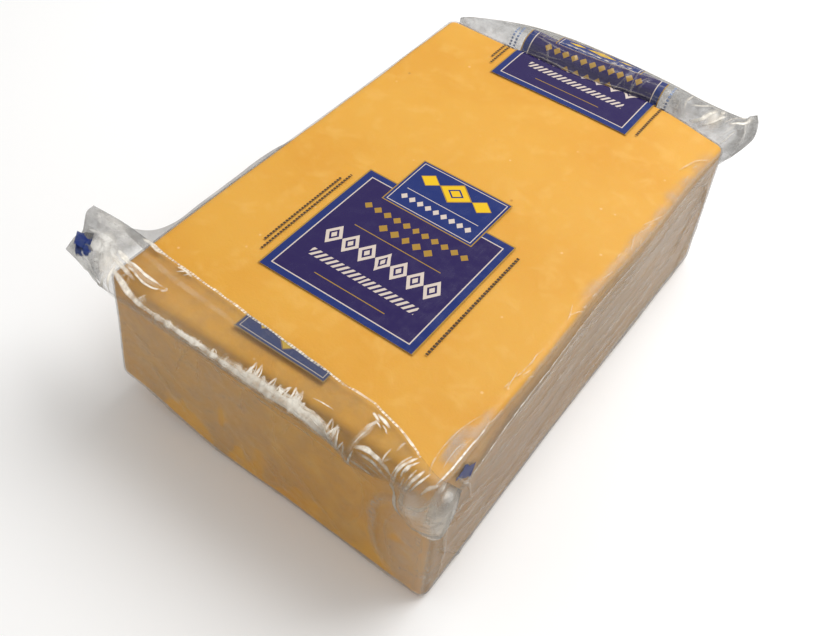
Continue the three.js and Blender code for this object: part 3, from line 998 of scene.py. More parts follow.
def label_print():
    """The print: a square field, a small panel, lozenges and bars, repeated along the film.

    Place is the distance across and along the film in millimetres.
    """
    colours = ("Field", "Border", "Gold", "Cream", "Yellow", "Small Bars")
    inputs = [("Place", "NodeSocketVector", None), ("Pitch", "NodeSocketFloat", PRINT_PITCH)]
    inputs += [(label, "NodeSocketColor", (0.5, 0.5, 0.5, 1.0)) for label in colours]
    outputs = [("Color", "NodeSocketColor"), ("Ink", "NodeSocketFloat")]
    tree, wiring, given, output = new_group("Label Print", inputs, outputs)
    split = wiring.add("ShaderNodeSeparateXYZ", {0: given["Place"]}).outputs
    u = split[0]
    top = wiring.math("ADD", given["Pitch"], PRINT_START)
    v = wiring.math("WRAP", split[1], top, PRINT_START)

    def above(depth, low):
        return wiring.math("GREATER_THAN", depth, low)

    def either(*masks):
        total = masks[0]
        for mask in masks[1:]:
            total = wiring.math("MAXIMUM", total, mask)
        return total

    field = inset(wiring, u, v, *PRINT_FIELD)
    panel = inset(wiring, u, v, *PRINT_PANEL)
    colour = wiring.mix(given["Gold"], given["Border"], above(field, 0.7))
    colour = wiring.mix(colour, given["Cream"], above(field, 4.3))
    colour = wiring.mix(colour, given["Field"], above(field, 4.9))
    gold_row = lozenge_row(wiring, u, v, -26.5, 31.0, 2.3, 2.5, 5.6)
    short_row = lozenge_row(wiring, u, v, -35.0, 16.5, 2.6, 2.9, 6.6)
    colour = wiring.mix(colour, given["Gold"], either(
        above(gold_row, 0.0),
        above(short_row, 0.0),
        bar(wiring, u, v, 0.0, -41.6, 25.0, 0.25),
        bar(wiring, u, v, 0.0, -78.0, 20.0, 0.25),
    ))
    large_row = lozenge_row(wiring, u, v, -53.0, 33.0, 4.6, 7.2, 9.4)
    colour = wiring.mix(colour, given["Cream"], above(large_row, 0.0))
    colour = wiring.mix(colour, given["Field"], above(large_row, 0.42))
    colour = wiring.mix(colour, given["Cream"], above(large_row, 0.68))
    colour = wiring.mix(colour, given["Cream"], rope_row(wiring, u, v, -68.0, 30.0, 2.5, 3.1))

    colour = wiring.mix(colour, given["Gold"], above(panel, 0.0))
    colour = wiring.mix(colour, given["Border"], above(panel, 0.6))
    colour = wiring.mix(colour, given["Cream"], above(panel, 1.7))
    colour = wiring.mix(colour, given["Border"], above(panel, 2.15))
    small_row = lozenge_row(wiring, u, v, -9.8, 21.5, 1.9, 2.3, 4.7)
    colour = wiring.mix(colour, given["Cream"], either(
        above(small_row, 0.0),
        bar(wiring, u, v, 0.0, -4.2, 21.0, 0.22),
    ))
    middle = lozenge(wiring, u, v, 0.0, 7.6, 9.6, 8.0)
    beside = either(
        lozenge(wiring, u, v, -15.2, 7.6, 5.8, 4.8),
        lozenge(wiring, u, v, 15.2, 7.6, 5.8, 4.8),
    )
    lozenges = either(middle, beside)
    colour = wiring.mix(colour, given["Gold"], above(lozenges, 0.0))
    colour = wiring.mix(colour, given["Yellow"], above(lozenges, 0.10))
    colour = wiring.mix(colour, given["Border"], above(middle, 0.52))
    colour = wiring.mix(colour, given["Yellow"], above(middle, 0.66))
    ink = above(either(field, panel), 0.0)

    dash = wiring.math("LESS_THAN", wiring.math("FRACT", wiring.math("DIVIDE", v, 1.9)), 0.66)
    fine = either(
        bar(wiring, u, v, -50.3, -47.8, 0.65, 28.8),
        bar(wiring, u, v, -47.6, -48.0, 0.65, 33.5),
        bar(wiring, u, v, 47.7, -47.5, 0.75, 37.6),
    )
    fine = wiring.math("MULTIPLY", fine, dash)
    colour = wiring.mix(colour, given["Small Bars"], fine)
    ink = wiring.math("MAXIMUM", ink, fine)
    return finish_group(tree, output, {"Color": colour, "Ink": ink})


def film_veil_and_highlights():
    """Clouding of the clear film, with painted highlights along its streaks and creases. Place is in millimetres on
    the film.
    """
    inputs = [
        ("Place", "NodeSocketVector", None),
        ("Veil", "NodeSocketFloat", 0.2),
        ("Pale", "NodeSocketFloat", 0.5),
        ("Crease", "NodeSocketFloat", 0.0),
        ("Streaks", "NodeSocketFloat", 0.0),
        ("Streak Stretch", "NodeSocketVector", (0.4, 0.06, 1.0)),
        ("Grey Film", "NodeSocketColor", (0.3, 0.3, 0.3, 1.0)),
        ("Pale Film", "NodeSocketColor", (0.7, 0.7, 0.7, 1.0)),
        ("Painted Highlight Colour", "NodeSocketColor", (0.9, 0.9, 0.9, 1.0)),
    ]
    outputs = [
        ("Color", "NodeSocketColor"),
        ("Cover", "NodeSocketFloat"),
        ("Roughness", "NodeSocketFloat"),
        ("Height", "NodeSocketFloat"),
    ]
    tree, wiring, given, output = new_group("Film Veil and Highlights", inputs, outputs)
    long_place = wiring.stretched(given["Place"], given["Streak Stretch"])
    streak = wiring.noise(long_place, 1.0, 4.0, 0.6, 0.4)
    ridge = wiring.math("ABSOLUTE", wiring.math("SUBTRACT", streak, 0.5))
    # Thin bright lines where the streak noise crosses its middle: painted highlights along fine wrinkles of the
    # film.
    line = wiring.ramp(ridge, 0.0, 0.03, 1.0, 0.0)
    patch = wiring.noise(given["Place"], 0.05, 3.0, 0.55)
    line = wiring.math("MULTIPLY", line, wiring.ramp(patch, 0.38, 0.62))
    line = wiring.math("MULTIPLY", line, given["Streaks"])
    cloud = wiring.noise(given["Place"], 0.14, 5.0, 0.62)
    calm = wiring.math("SUBTRACT", 1.0, wiring.math("MINIMUM", wiring.math("MULTIPLY", given["Streaks"], 2.2), 0.85))
    cloud = wiring.ramp(cloud, 0.25, 0.75, -0.30, 0.30)
    cloud = wiring.math("ADD", 1.0, wiring.math("MULTIPLY", cloud, calm))
    soft = wiring.math("MULTIPLY", wiring.math("SUBTRACT", streak, 0.5), given["Streaks"])
    cloud = wiring.math("ADD", cloud, wiring.math("MULTIPLY", soft, 1.3))
    cover = wiring.math("MULTIPLY", given["Veil"], cloud)
    glint = wiring.ramp(given["Crease"], 0.35, 1.0)
    sparkle = wiring.noise(given["Place"], 0.45, 3.0, 0.6)
    glint = wiring.math("MULTIPLY", glint, wiring.ramp(sparkle, 0.42, 0.66, 0.0, 0.5))
    # Painted highlights from the streak lines and the crease glints, which also make the film less clear there and
    # take the highlight colour.
    painted_highlight = wiring.math("MAXIMUM", line, glint)
    free = wiring.math("SUBTRACT", 1.0, cover)
    cover = wiring.math("ADD", cover, wiring.math("MULTIPLY", painted_highlight, wiring.math("MULTIPLY", free, 0.8)))
    colour = wiring.mix(given["Grey Film"], given["Pale Film"], given["Pale"])
    colour = wiring.mix(colour, given["Painted Highlight Colour"], painted_highlight)
    rough = wiring.ramp(cloud, 0.7, 1.3, 0.14, 0.30)
    height = wiring.math("ADD", wiring.math("MULTIPLY", streak, 0.6), wiring.math("MULTIPLY", cloud, 0.4))
    values = {"Color": colour, "Cover": cover, "Roughness": rough, "Height": height}
    return finish_group(tree, output, values)


def group(name, build):
    """A node group by name, built the first time it is asked for."""
    return bpy.data.node_groups.get(name) or build()


def new_material(name):
    material = bpy.data.materials.new(name)
    material.use_nodes = True
    material.node_tree.nodes.clear()
    wiring = Wiring(material.node_tree)
    shader = material.node_tree.nodes.new("ShaderNodeBsdfPrincipled")
    shader.location = (1500, 0)
    output = material.node_tree.nodes.new("ShaderNodeOutputMaterial")
    output.location = (1800, 0)
    material.node_tree.links.new(shader.outputs[0], output.inputs[0])
    return material, wiring, shader


def film_material(name, printed, stretch, faded=0.0):
    """Clear film, with the label's print or without it. Print that is seen through other film looks faded."""
    known = bpy.data.materials.get(name)
    if known:
        return known
    film = bpy.context.scene.cheddar_film
    ink = bpy.context.scene.cheddar_print
    material, wiring, shader = new_material(name)
    place = wiring.add("ShaderNodeAttribute", attribute_name="film_place").outputs["Vector"]
    values = {"Place": place, "Streak Stretch": stretch}
    for label in ("veil", "pale", "crease", "streaks"):
        values[label.title()] = wiring.add("ShaderNodeAttribute", attribute_name=label).outputs["Fac"]
    values["Veil"] = wiring.math("MULTIPLY", values["Veil"], film.veil)
    values["Grey Film"] = opaque(film.grey)
    values["Pale Film"] = opaque(film.pale)
    # The colour of the painted highlights on the film's streaks and creases.
    values["Painted Highlight Colour"] = opaque(film.painted_highlight)
    veil = wiring.add("ShaderNodeGroup", node_tree=group("Film Veil and Highlights", film_veil_and_highlights))
    fill_inputs(wiring, veil, values)
    colour, cover = veil.outputs["Color"], veil.outputs["Cover"]
    edge = wiring.add("ShaderNodeLayerWeight", {"Blend": 0.25}).outputs["Fresnel"]
    cover = wiring.math("ADD", cover, wiring.math("MULTIPLY", edge, 0.05))
    if printed:
        label = wiring.add("ShaderNodeGroup", node_tree=group("Label Print", label_print))
        fill_inputs(wiring, label, {
            "Place": place,
            "Field": opaque(ink.field),
            "Border": opaque(ink.border),
            "Gold": opaque(ink.gold),
            "Cream": opaque(ink.cream),
            "Yellow": opaque(ink.yellow),
            "Small Bars": opaque((0.20, 0.26, 0.42) if faded else ink.small),
        })
        print_colour = wiring.mix(label.outputs["Color"], (0.11, 0.13, 0.15), faded)
        colour = wiring.mix(colour, print_colour, label.outputs["Ink"])
        cover = wiring.math("MAXIMUM", cover, wiring.math("MULTIPLY", label.outputs["Ink"], 0.97))
    tree = material.node_tree
    tree.links.new(colour, shader.inputs["Base Color"])
    tree.links.new(wiring.math("MINIMUM", cover, 0.98), shader.inputs["Alpha"])
    tree.links.new(veil.outputs["Roughness"], shader.inputs["Roughness"])
    tree.links.new(wiring.bump(veil.outputs["Height"], 0.0004, 0.3), shader.inputs["Normal"])
    shader.inputs["IOR"].default_value = 1.5
    shader.inputs["Specular IOR Level"].default_value = 0.42
    return material


def painted_highlight_material():
    """Painted highlights on the crests of sharp creases: cream to white where the shine is high. A crest is made of
    many small folds that mostly face up, so the shading normal leans up.
    """
    known = bpy.data.materials.get("bag_crease_highlight")
    if known:
        return known
    material, wiring, shader = new_material("bag_crease_highlight")
    shine = wiring.add("ShaderNodeAttribute", attribute_name="shine").outputs["Fac"]
    place = wiring.add("ShaderNodeTexCoord").outputs["Object"]
    break_up = wiring.ramp(wiring.noise(place, 420.0, 3.0, 0.6), 0.25, 0.6, 0.6, 1.0)
    facing = wiring.add("ShaderNodeNewGeometry").outputs["Normal"]
    up = wiring.add(
        "ShaderNodeVectorTransform",
        {0: (0.0, 0.0, 1.0)},
        vector_type="NORMAL",
        convert_from="OBJECT",
        convert_to="WORLD",
    ).outputs[0]
    lean = wiring.add("ShaderNodeMix", {0: 0.7, 4: facing, 5: up}, data_type="VECTOR").outputs[1]
    lean = wiring.add("ShaderNodeVectorMath", {0: lean}, operation="NORMALIZE").outputs[0]
    tree = material.node_tree
    tree.links.new(wiring.math("MULTIPLY", shine, break_up), shader.inputs["Alpha"])
    painted_highlight = bpy.context.scene.cheddar_film.painted_highlight
    # Painted highlight colour: cream where the shine is weak, the highlight colour where it is strong.
    colour = wiring.mix((0.86, 0.78, 0.66), painted_highlight, wiring.ramp(shine, 0.2, 0.7))
    free = wiring.add("ShaderNodeAttribute", attribute_name="free").outputs["Fac"]
    # The painted highlight is whiter where the film stands free of the cheese.
    colour = wiring.mix(colour, (0.97, 0.97, 0.96), wiring.math("MULTIPLY", free, 0.6))
    tree.links.new(colour, shader.inputs["Base Color"])
    tree.links.new(lean, shader.inputs["Normal"])
    shader.inputs["Roughness"].default_value = 0.22
    return material


def scrap_material():
    """Plain ink on scraps of printed film at the bag's corners."""
    ink = bpy.context.scene.cheddar_print
    material, wiring, shader = new_material("bag_ink_scrap")
    place = wiring.add("ShaderNodeTexCoord").outputs["Object"]
    cloud = wiring.noise(place, 300.0, 3.0, 0.6)
    colour = wiring.mix(ink.border, (0.035, 0.055, 0.14), wiring.ramp(cloud, 0.35, 0.7, 0.0, 0.8))
    material.node_tree.links.new(colour, shader.inputs["Base Color"])
    shader.inputs["Alpha"].default_value = 0.93
    shader.inputs["Roughness"].default_value = 0.45
    shader.inputs["Specular IOR Level"].default_value = 0.2
    return material


def fill_inputs(wiring, node, values):
    for key, value in values.items():
        if isinstance(value, bpy.types.NodeSocket):
            wiring.tree.links.new(value, node.inputs[key])
        else:
            node.inputs[key].default_value = value


def cheddar_material():
    """Firm orange cheese: mottled, with fine knit lines, pale curd and pinholes."""
    loaf = bpy.context.scene.cheddar_loaf
    material, wiring, shader = new_material("cheddar")
    place = wiring.add("ShaderNodeTexCoord").outputs["Object"]
    broad = wiring.noise(place, 14.0, 3.0, 0.55)
    middle = wiring.noise(place, 70.0, 4.0, 0.6, 0.4)
    colour = wiring.mix(loaf.colour, loaf.deep_colour, wiring.ramp(broad, 0.38, 0.70, 0.0, 0.75))
    colour = wiring.mix(colour, loaf.pale_colour, wiring.ramp(middle, 0.48, 0.74, 0.0, 0.45))
    drift = wiring.add("ShaderNodeTexNoise", {"Vector": place, "Scale": 60.0, "Detail": 2.0}).outputs["Color"]
    drift = wiring.add("ShaderNodeVectorMath", {0: drift, "Scale": 0.012}, operation="SCALE").outputs[0]
    knit_place = wiring.add("ShaderNodeVectorMath", {0: place, 1: drift}, operation="ADD").outputs[0]
    knit = wiring.add(
        "ShaderNodeTexVoronoi",
        {"Vector": knit_place, "Scale": 85.0},
        feature="DISTANCE_TO_EDGE",
    ).outputs["Distance"]
    knit = wiring.ramp(knit, 0.0, 0.06, 1.0, 0.0)
    colour = wiring.mix(colour, loaf.pale_colour, wiring.math("MULTIPLY", knit, 0.05))
    speck = wiring.add("ShaderNodeTexVoronoi", {"Vector": place, "Scale": 130.0}).outputs
    chosen = wiring.add("ShaderNodeSeparateColor", {0: speck["Color"]}).outputs
    dot = wiring.ramp(speck["Distance"], 0.05, 0.13, 1.0, 0.0)
    pale_dot = wiring.math("MULTIPLY", dot, wiring.math("GREATER_THAN", chosen[0], 0.86))
    shaded_pinhole = wiring.math("MULTIPLY", dot, wiring.math("LESS_THAN", chosen[0], 0.035))
    colour = wiring.mix(colour, (0.93, 0.66, 0.34), wiring.math("MULTIPLY", pale_dot, 0.45))
    # The pinholes are darkened: painted shade inside the small holes, with a dip in the bump.
    colour = wiring.mix(colour, (0.42, 0.18, 0.03), wiring.math("MULTIPLY", shaded_pinhole, 0.55))
    grain = wiring.noise(place, 900.0, 3.0, 0.6)
    height = wiring.math("ADD", wiring.math("MULTIPLY", middle, 0.8), wiring.math("MULTIPLY", grain, 0.2))
    height = wiring.math("SUBTRACT", height, wiring.math("MULTIPLY", knit, 0.04))
    height = wiring.math("SUBTRACT", height, wiring.math("MULTIPLY", shaded_pinhole, 0.6))
    tree = material.node_tree
    tree.links.new(colour, shader.inputs["Base Color"])
    tree.links.new(wiring.ramp(grain, 0.3, 0.7, 0.36, 0.52), shader.inputs["Roughness"])
    tree.links.new(wiring.bump(height, 0.0006, 0.6), shader.inputs["Normal"])
    shader.inputs["Subsurface Weight"].default_value = 0.12
    shader.inputs["Subsurface Radius"].default_value = (1.0, 0.45, 0.15)
    shader.inputs["Subsurface Scale"].default_value = 0.004
    shader.inputs["Specular IOR Level"].default_value = 0.22
    return material


# Operators

class CHEDDAR_OT_loaf(bpy.types.Operator):
    """Make the loaf of cheese"""

    bl_idname = "cheddar.loaf"
    bl_label = "Cheese"

    def execute(self, context):
        settings = context.scene.cheddar_loaf
        points, quads = loaf_skin(CHEESE_STEPS)
        normals = vertex_normals(points, quads)
        sides = np.clip(1.0 - normals[:, 2] ** 2, 0, 1)
        relief = 0.30 * noise_field(points, 26, 1) * (0.3 + 0.7 * sides)
        relief += 0.16 * noise_field(points, 9, 2) * (0.25 + 0.75 * sides)
        relief += 0.05 * noise_field(points, 4, 3)
        pits = noise_field(points, 3.2, 4)
        relief -= 0.25 * smoothstep(pits, 0.62, 0.9) * (0.35 + 0.65 * sides)
        relief = np.clip(relief, -1.2, 0.35) - settings.film_gap / METRE
        moved = points + normals * relief[:, None]
        new_piece("cheddar_block", moved, quads, [cheddar_material()])
        return {"FINISHED"}


def side_weights(normals):
    """How far each point belongs to each of the loaf's six faces."""
    return {
        "right": smoothstep(normals[:, 0], 0.45, 0.9),
        "left": smoothstep(-normals[:, 0], 0.45, 0.9),
        "near": smoothstep(-normals[:, 1], 0.45, 0.9),
        "far": smoothstep(normals[:, 1], 0.45, 0.9),
        "top": smoothstep(normals[:, 2], 0.3, 0.8),
        "base": smoothstep(-normals[:, 2], 0.3, 0.8),
    }


def right_veil(points, band):
    """The right side is streaked along the loaf, and clearer in the band under its top edge."""
    side_place = points[:, 1:]
    streak = 0.5 * noise_field(side_place, (60, 4.0), 13) + 0.5 * noise_field(side_place, (25, 2.4), 14)
    return between(0.49 + 0.09 * streak, 0.30 + 0.05 * streak, band)


def near_veil(points, fine):
    """The near face is hazy, and clear in patches where the film clings to the cheese."""
    x, _, z = points.T
    near_place = points[:, [0, 2]]
    blotch = noise_field(near_place, (11, 22), 18) + 0.5 * noise_field(near_place, (5, 9), 19)
    cling = smoothstep(blotch + 1.5 * smoothstep(-z, -30, 6) - 0.75 * smoothstep(z, 30, 60), 0.5, 0.85)
    hazy = 0.32 + 0.03 * fine - 0.11 * smoothstep(x, -30, 55) + 0.17 * smoothstep(x, 60, 82)
    return between(hazy, np.minimum(hazy, 0.12), cling) * (1 - 0.65 * smoothstep(z, 73, 79))


def top_veil(points, fine):
    """The top is clear, but hazy along its right edge, where the film leaves the cheese."""
    x, y, _ = points.T
    broad = noise_field(points, 23, 11)
    rim = smoothstep(x + 2.5 * fine + 2.0 * broad, 82, 89)
    rim *= 0.85 * smoothstep(y, -60, 20) * smoothstep(-y, -134, -118)
    patchy = noise_field(points[:, :2], (4, 9), 25) + 0.5 * noise_field(points[:, :2], 3, 26)
    patchy = smoothstep(patchy, -0.45, 0.0)
    inner = 80 + 0.006 * (y + 116) ** 2
    rim = np.maximum(rim, smoothstep(x - inner + fine, -0.6, 1.2) * bump(y + 114, 36) * (0.35 + 0.75 * patchy))
    thin = smoothstep(x + 1.2 * fine, 86.5, 88.5)
    return np.maximum(0.02 + 0.36 * rim, 0.22 * thin)


def body_clouding(points, weights):
    """How cloudy, how pale and how streaked the film is at each point."""
    x, y, z = points.T
    fine = noise_field(points, 8, 12)
    band_foot = 76.0 + 3.5 * smoothstep(y, -30, 70) - 8.0 * smoothstep(-y, 70, 120)
    band = smoothstep(z - band_foot, -0.8, 1.2)
    veil = weights["right"] * right_veil(points, band) + weights["left"] * 0.38
    veil += weights["near"] * near_veil(points, fine)
    veil += weights["far"] * 0.34 + weights["base"] * 0.20
    veil += weights["top"] * top_veil(points, fine)
    # In the band under the top edge of the sides the film's colour is made darker: painted shade.
    pale = 0.13 * (weights["right"] + weights["left"]) * between(1.0, 0.45, band * smoothstep(-y, -60, 40))
    pale += (0.34 - 0.18 * smoothstep(x, -30, 45) + 0.34 * smoothstep(x, 58, 82)) * weights["near"]
    pale += 0.5 * weights["top"] + 0.25 * (weights["far"] + weights["base"])
    streaks = 0.40 * weights["right"] * (1 - 0.6 * band) + 0.35 * weights["left"] + 0.10 * weights["near"]
    return {"veil": np.clip(veil, 0, 1), "pale": np.clip(pale, 0, 1), "streaks": np.clip(streaks, 0, 1)}


def body_film_place(points):
    """Each point's place on the flat film, with the sides folded out round the top."""
    x, y, z = points.T
    place = np.stack((x + np.sign(x) * (HEIGHT - z), y + np.sign(y) * (HEIGHT - z), z), axis=1)
    place[:, 0] = np.where(np.abs(y) > HALF_LENGTH - 3, x, place[:, 0])
    place[:, 1] = np.where(np.abs(x) > HALF_WIDTH - 3, y, place[:, 1])
    return place


class CHEDDAR_OT_body_film(bpy.types.Operator):
    """Make the film that is drawn tight round the loaf"""

    bl_idname = "cheddar.body_film"
    bl_label = "Film Round the Loaf"

    def execute(self, context):
        points, quads = loaf_skin(FILM_STEPS)
        normals = vertex_normals(points, quads)
        weights = side_weights(normals)
        faces = {
            "right": ((1, 2), 1, right_side_creases()),
            "left": ((1, 2), -1, left_creases()),
            "near": ((0, 2), -1, near_creases()),
            "far": ((0, 2), 1, far_creases()),
            "top": ((0, 1), 1, top_creases()),
        }
        rise, crease = np.zeros(len(points)), np.zeros(len(points))
        for side, (axes, _, creases) in faces.items():
            height, sharp = crease_field(points[:, axes], creases, LEAST_BODY_CREASE)
            rise += height * weights[side]
            crease = np.maximum(crease, sharp * weights[side])
        rise *= context.scene.cheddar_film.wrinkle_height
        moved = points + normals * np.clip(rise, -0.3, 3.0)[:, None]
        moved[:, 2] = np.maximum(moved[:, 2], 0.0)

        values = body_clouding(points, weights)
        values["film_place"] = body_film_place(points)
        values["crease"] = np.clip(crease, 0, 1)
        printed = film_material("bag_film_printed", True, STREAKS_ALONG)
        clear = film_material("bag_film_clear", False, STREAKS_ALONG)
        low = points[quads, 2].mean(axis=1) < TAIL_ROOT_HEIGHT
        new_piece("bag_body", moved, quads, [printed, clear], values, low)

        # Painted highlight strips along the bright creases of every face.
        tree = BVHTree.FromPolygons(moved.tolist(), quads.tolist())
        parts = []
        for side, (axes, away, creases) in faces.items():
            parts.append(strips_along(creases, seen_from(tree, 200.0, *axes, away)))
        painted_highlight_piece("bag_body_crease_highlights", parts)
        scraps = [
            (((-119.5, 78.4), (-115, 73.8), (-110.5, 69.4)), 4.2, 0.3, 1.0),
            (((-124.5, 79.6), (-121, 78.6), (-117.5, 76.6)), 1.7, 0.3, 1.0),
        ]
        strips = strips_along(scraps, seen_from(tree, 200.0, 1, 2, 1), FLAT)
        new_piece("bag_corner_scrap", strips[0], strips[1], [scrap_material()])
        return {"FINISHED"}


def end_piece(
    name, stations, creases, film_along, gather, printed_outside, faded, cover, clouding_and_highlight_marks, seal_light, dash,
):
    """One flat end of the bag: two layers of film with ripples, sealed along the cut edge.

    Film_along turns the distance from the root into a place along the film, and gather is the scale and
    the shift of the print across it. Cover is how far the film hides the cheese and the floor. Each mark is
    a spot: its place, its reach both ways, and what it adds to the clouding and to its paleness; the added
    paleness paints a highlight.
    """
    surface = surface_through(stations, END_STEPS)
    normals = surface_normals(surface)
    rows, columns, _ = surface.shape
    middle = surface[:, columns // 2]
    across = np.concatenate([[0], np.cumsum(np.linalg.norm(np.diff(middle, axis=0), axis=1))])
    across -= np.interp(0.0, middle[:, 0], across)
    steps = np.linalg.norm(np.diff(surface, axis=1), axis=2)
    along = np.concatenate([np.zeros((rows, 1)), np.cumsum(steps, axis=1)], axis=1)
    left = along[:, -1:] - along
    spot = np.stack((np.broadcast_to(across[:, None], along.shape), along), axis=2).reshape(-1, 2)
    height, sharp = crease_field(spot, creases, LEAST_END_CREASE)
    height, sharp = height.reshape(rows, columns), sharp.reshape(rows, columns)
    side = np.arange(rows)[:, None] / (rows - 1)
    closed = smoothstep(side, 0, 0.02) * (1.0 - smoothstep(side, 0.98, 1.0))
    apart = closed * smoothstep(left, 1.2, 4.5)
    free = smoothstep(np.abs(surface[..., 0]), HALF_WIDTH - 4, HALF_WIDTH + 5)
    free = np.maximum(free, smoothstep(surface[..., 1], HALF_LENGTH + 5, HALF_LENGTH + 14))
    ripple = 0.6 * noise_field(spot, (9, 20), 15) + 0.3 * noise_field(spot, (4, 9), 16)
    ripple = ripple.reshape(rows, columns) * (0.25 + 0.75 * free)
    scale = bpy.context.scene.cheddar_film.wrinkle_height
    outward = apart * (0.35 + 0.5 * ripple + 0.6 * scale * height)
    inward = -apart * (0.22 + 0.2 * np.abs(ripple))
    outer = surface + normals * outward[..., None]
    inner = surface + normals * inward[..., None]

    points, quads, used = layers_of(outer, inner)
    layer = (np.arange(len(quads)) >= len(quads) // 2).astype(int)
    film_v = film_along(along)
    film_u = np.broadcast_to(across[:, None] * gather[0] + gather[1], along.shape)
    place = np.stack((film_u, film_v, surface[..., 2]), axis=2)
    veil = between(cover[0], cover[1], free) + 0.10 * ripple
    pale = 0.07 + 0.12 * ripple + 0.06 * free
    # Each spot adds clouding, and paleness that paints a highlight.
    for centre_a, centre_b, reach_a, reach_b, more_veil, more_pale_highlight in clouding_and_highlight_marks:
        away = np.hypot((across[:, None] - centre_a) / reach_a, (along - centre_b) / reach_b)
        amount = bump(away + 0.35 * ripple, 1.0)
        veil = veil + more_veil * amount
        pale = pale + more_pale_highlight * amount
    values = {"film_place": place.reshape(-1, 3)}
    for key, value in (("veil", veil), ("pale", pale), ("crease", sharp), ("streaks", 0.15 * free)):
        values[key] = np.clip(value, 0, 1).ravel()
    values = {key: np.concatenate((value, value))[used] for key, value in values.items()}
    clear = film_material("bag_end_film_clear", False, STREAKS_ACROSS)
    printed = film_material(name + "_printed", True, STREAKS_ACROSS, faded)
    slots = layer if not printed_outside else 1 - layer
    new_piece(name, points[used], quads, [clear, printed], values, slots)

    # Painted highlight strips along the creases on the outer layer.
    place_of = on_sheet(outer, across, along)
    parts = [strips_along(creases, place_of)]
    # A dashed painted highlight along the seal at the cut edge.
    edge = [(a, along[int(np.interp(a, across, np.arange(rows))), -1] - 0.5) for a in np.arange(-84, 80, 12)]
    parts.append(strips_along([(edge, 0.75, 0.5, seal_light)], place_of, FLAT, dash))
    painted_highlight_piece(name + "_creases", parts)
    return place_of


class CHEDDAR_OT_folded_end(bpy.types.Operator):
    """Make the bag's near end, folded back over the top, with its two ears"""

    bl_idname = "cheddar.folded_end"
    bl_label = "Folded End"

    def execute(self, context):
        stations = LAP_LEFT_EAR + [lap_station(x) for x in LAP_MIDDLE_STATIONS] + LAP_RIGHT_EAR
        # Spots on the ears and the flap: clouding, and paleness that paints highlights.
        clouding_and_highlight_marks = (
            (-55, 20, 62, 40, 0.0, 0.24),
            (-101, 17, 12, 9, 0.22, 0.7),
            (-116, 10, 8, 12, 0.15, 0.0),
            (-88, 17, 9, 11, 0.16, 0.8),
            (-108, 30, 16, 5, 0.15, 0.35),
            (96, 16, 26, 22, -0.04, 1.2),
            (92, 12, 12, 11, 0.14, 0.25),
            (107, 22, 11, 18, -0.06, 0.9),
            (107, 35, 11, 14, -0.04, 0.6),
        )

        def film_along(along):
            return -HALF_LENGTH - ROOT_DROP + 3 - along

        place_of = end_piece(
            "bag_folded_end", stations, folded_end_creases(), film_along, (1.075, 1.2), False, 0.35,
            (0.10, 0.46), clouding_and_highlight_marks, 0.70, 1.75,
        )
        scraps = [
            (((-120.5, 7), (-116, 10), (-111.5, 13)), 7.5, 0.3, 1.0),
            (((-113.5, 9), (-111.5, 4)), 4.5, 0.3, 1.0),
        ]
        strips = strips_along(scraps, place_of, FLAT)
        new_piece("bag_ear_scrap", strips[0], strips[1], [scrap_material()])
        return {"FINISHED"}


class CHEDDAR_OT_standing_end(bpy.types.Operator):
    """Make the bag's far end, which stands out behind the loaf"""

    bl_idname = "cheddar.standing_end"
    bl_label = "Standing End"

    def execute(self, context):
        stations = STAND_LEFT_EAR + [stand_station(x) for x in STAND_MIDDLE_STATIONS] + STAND_RIGHT_EAR
        # Spots on the right ear: clouding, and paleness that paints highlights.
        clouding_and_highlight_marks = (
            (76, 20, 7, 8, 0.25, 0.9),
            (98, 27, 8, 4, 0.20, 0.6),
        )

        def film_along(along):
            gathered = 30 * smoothstep(along, 22, 35)
            return HALF_LENGTH + ROOT_DROP + along + gathered

        end_piece(
            "bag_standing_end", stations, standing_end_creases(), film_along, (1.0, 0.0), True, 0.08,
            (0.33, 0.58), clouding_and_highlight_marks, 0.3, 0.0,
        )
        return {"FINISHED"}


class CHEDDAR_OT_webs(bpy.types.Operator):
    """Make the film that runs from the left ear back to the loaf's side"""

    bl_idname = "cheddar.webs"
    bl_label = "Web at the Left Ear"

    def execute(self, context):
        surface = surface_through(LEFT_WEB, WEB_STEPS)
        normals = surface_normals(surface)
        rows, columns, _ = surface.shape
        spot = surface.reshape(-1, 3)[:, 1:]
        ripple = (0.5 * noise_field(spot, (14, 5), 17)).reshape(rows, columns)
        surface = surface + normals * ripple[..., None]
        quads = grid_quads(np.arange(rows * columns).reshape(rows, columns))
        points = surface.reshape(-1, 3)
        count = len(points)
        values = {
            "film_place": points + np.array((-60.0, 0.0, 0.0)),
            "veil": np.full(count, 0.50),
            "pale": np.full(count, 0.15),
            "crease": np.clip(ripple.ravel(), 0, 1),
            "streaks": np.full(count, 0.3),
        }
        clear = film_material("bag_film_clear", False, STREAKS_ALONG)
        new_piece("bag_left_web", points, quads, [clear], values)
        return {"FINISHED"}


def aimed(direction):
    return Vector(direction).to_track_quat("Z", "Y")


def add_light(name, place, size, power):
    light = bpy.data.lights.new(name, "AREA")
    light.shape = "RECTANGLE"
    light.size, light.size_y = size
    light.energy = power
    lamp = bpy.data.objects.new(name, light)
    lamp.location = place
    lamp.rotation_mode = "QUATERNION"
    lamp.rotation_quaternion = aimed(Vector(place) - Vector(LIGHT_TARGET))
    bpy.context.scene.collection.objects.link(lamp)


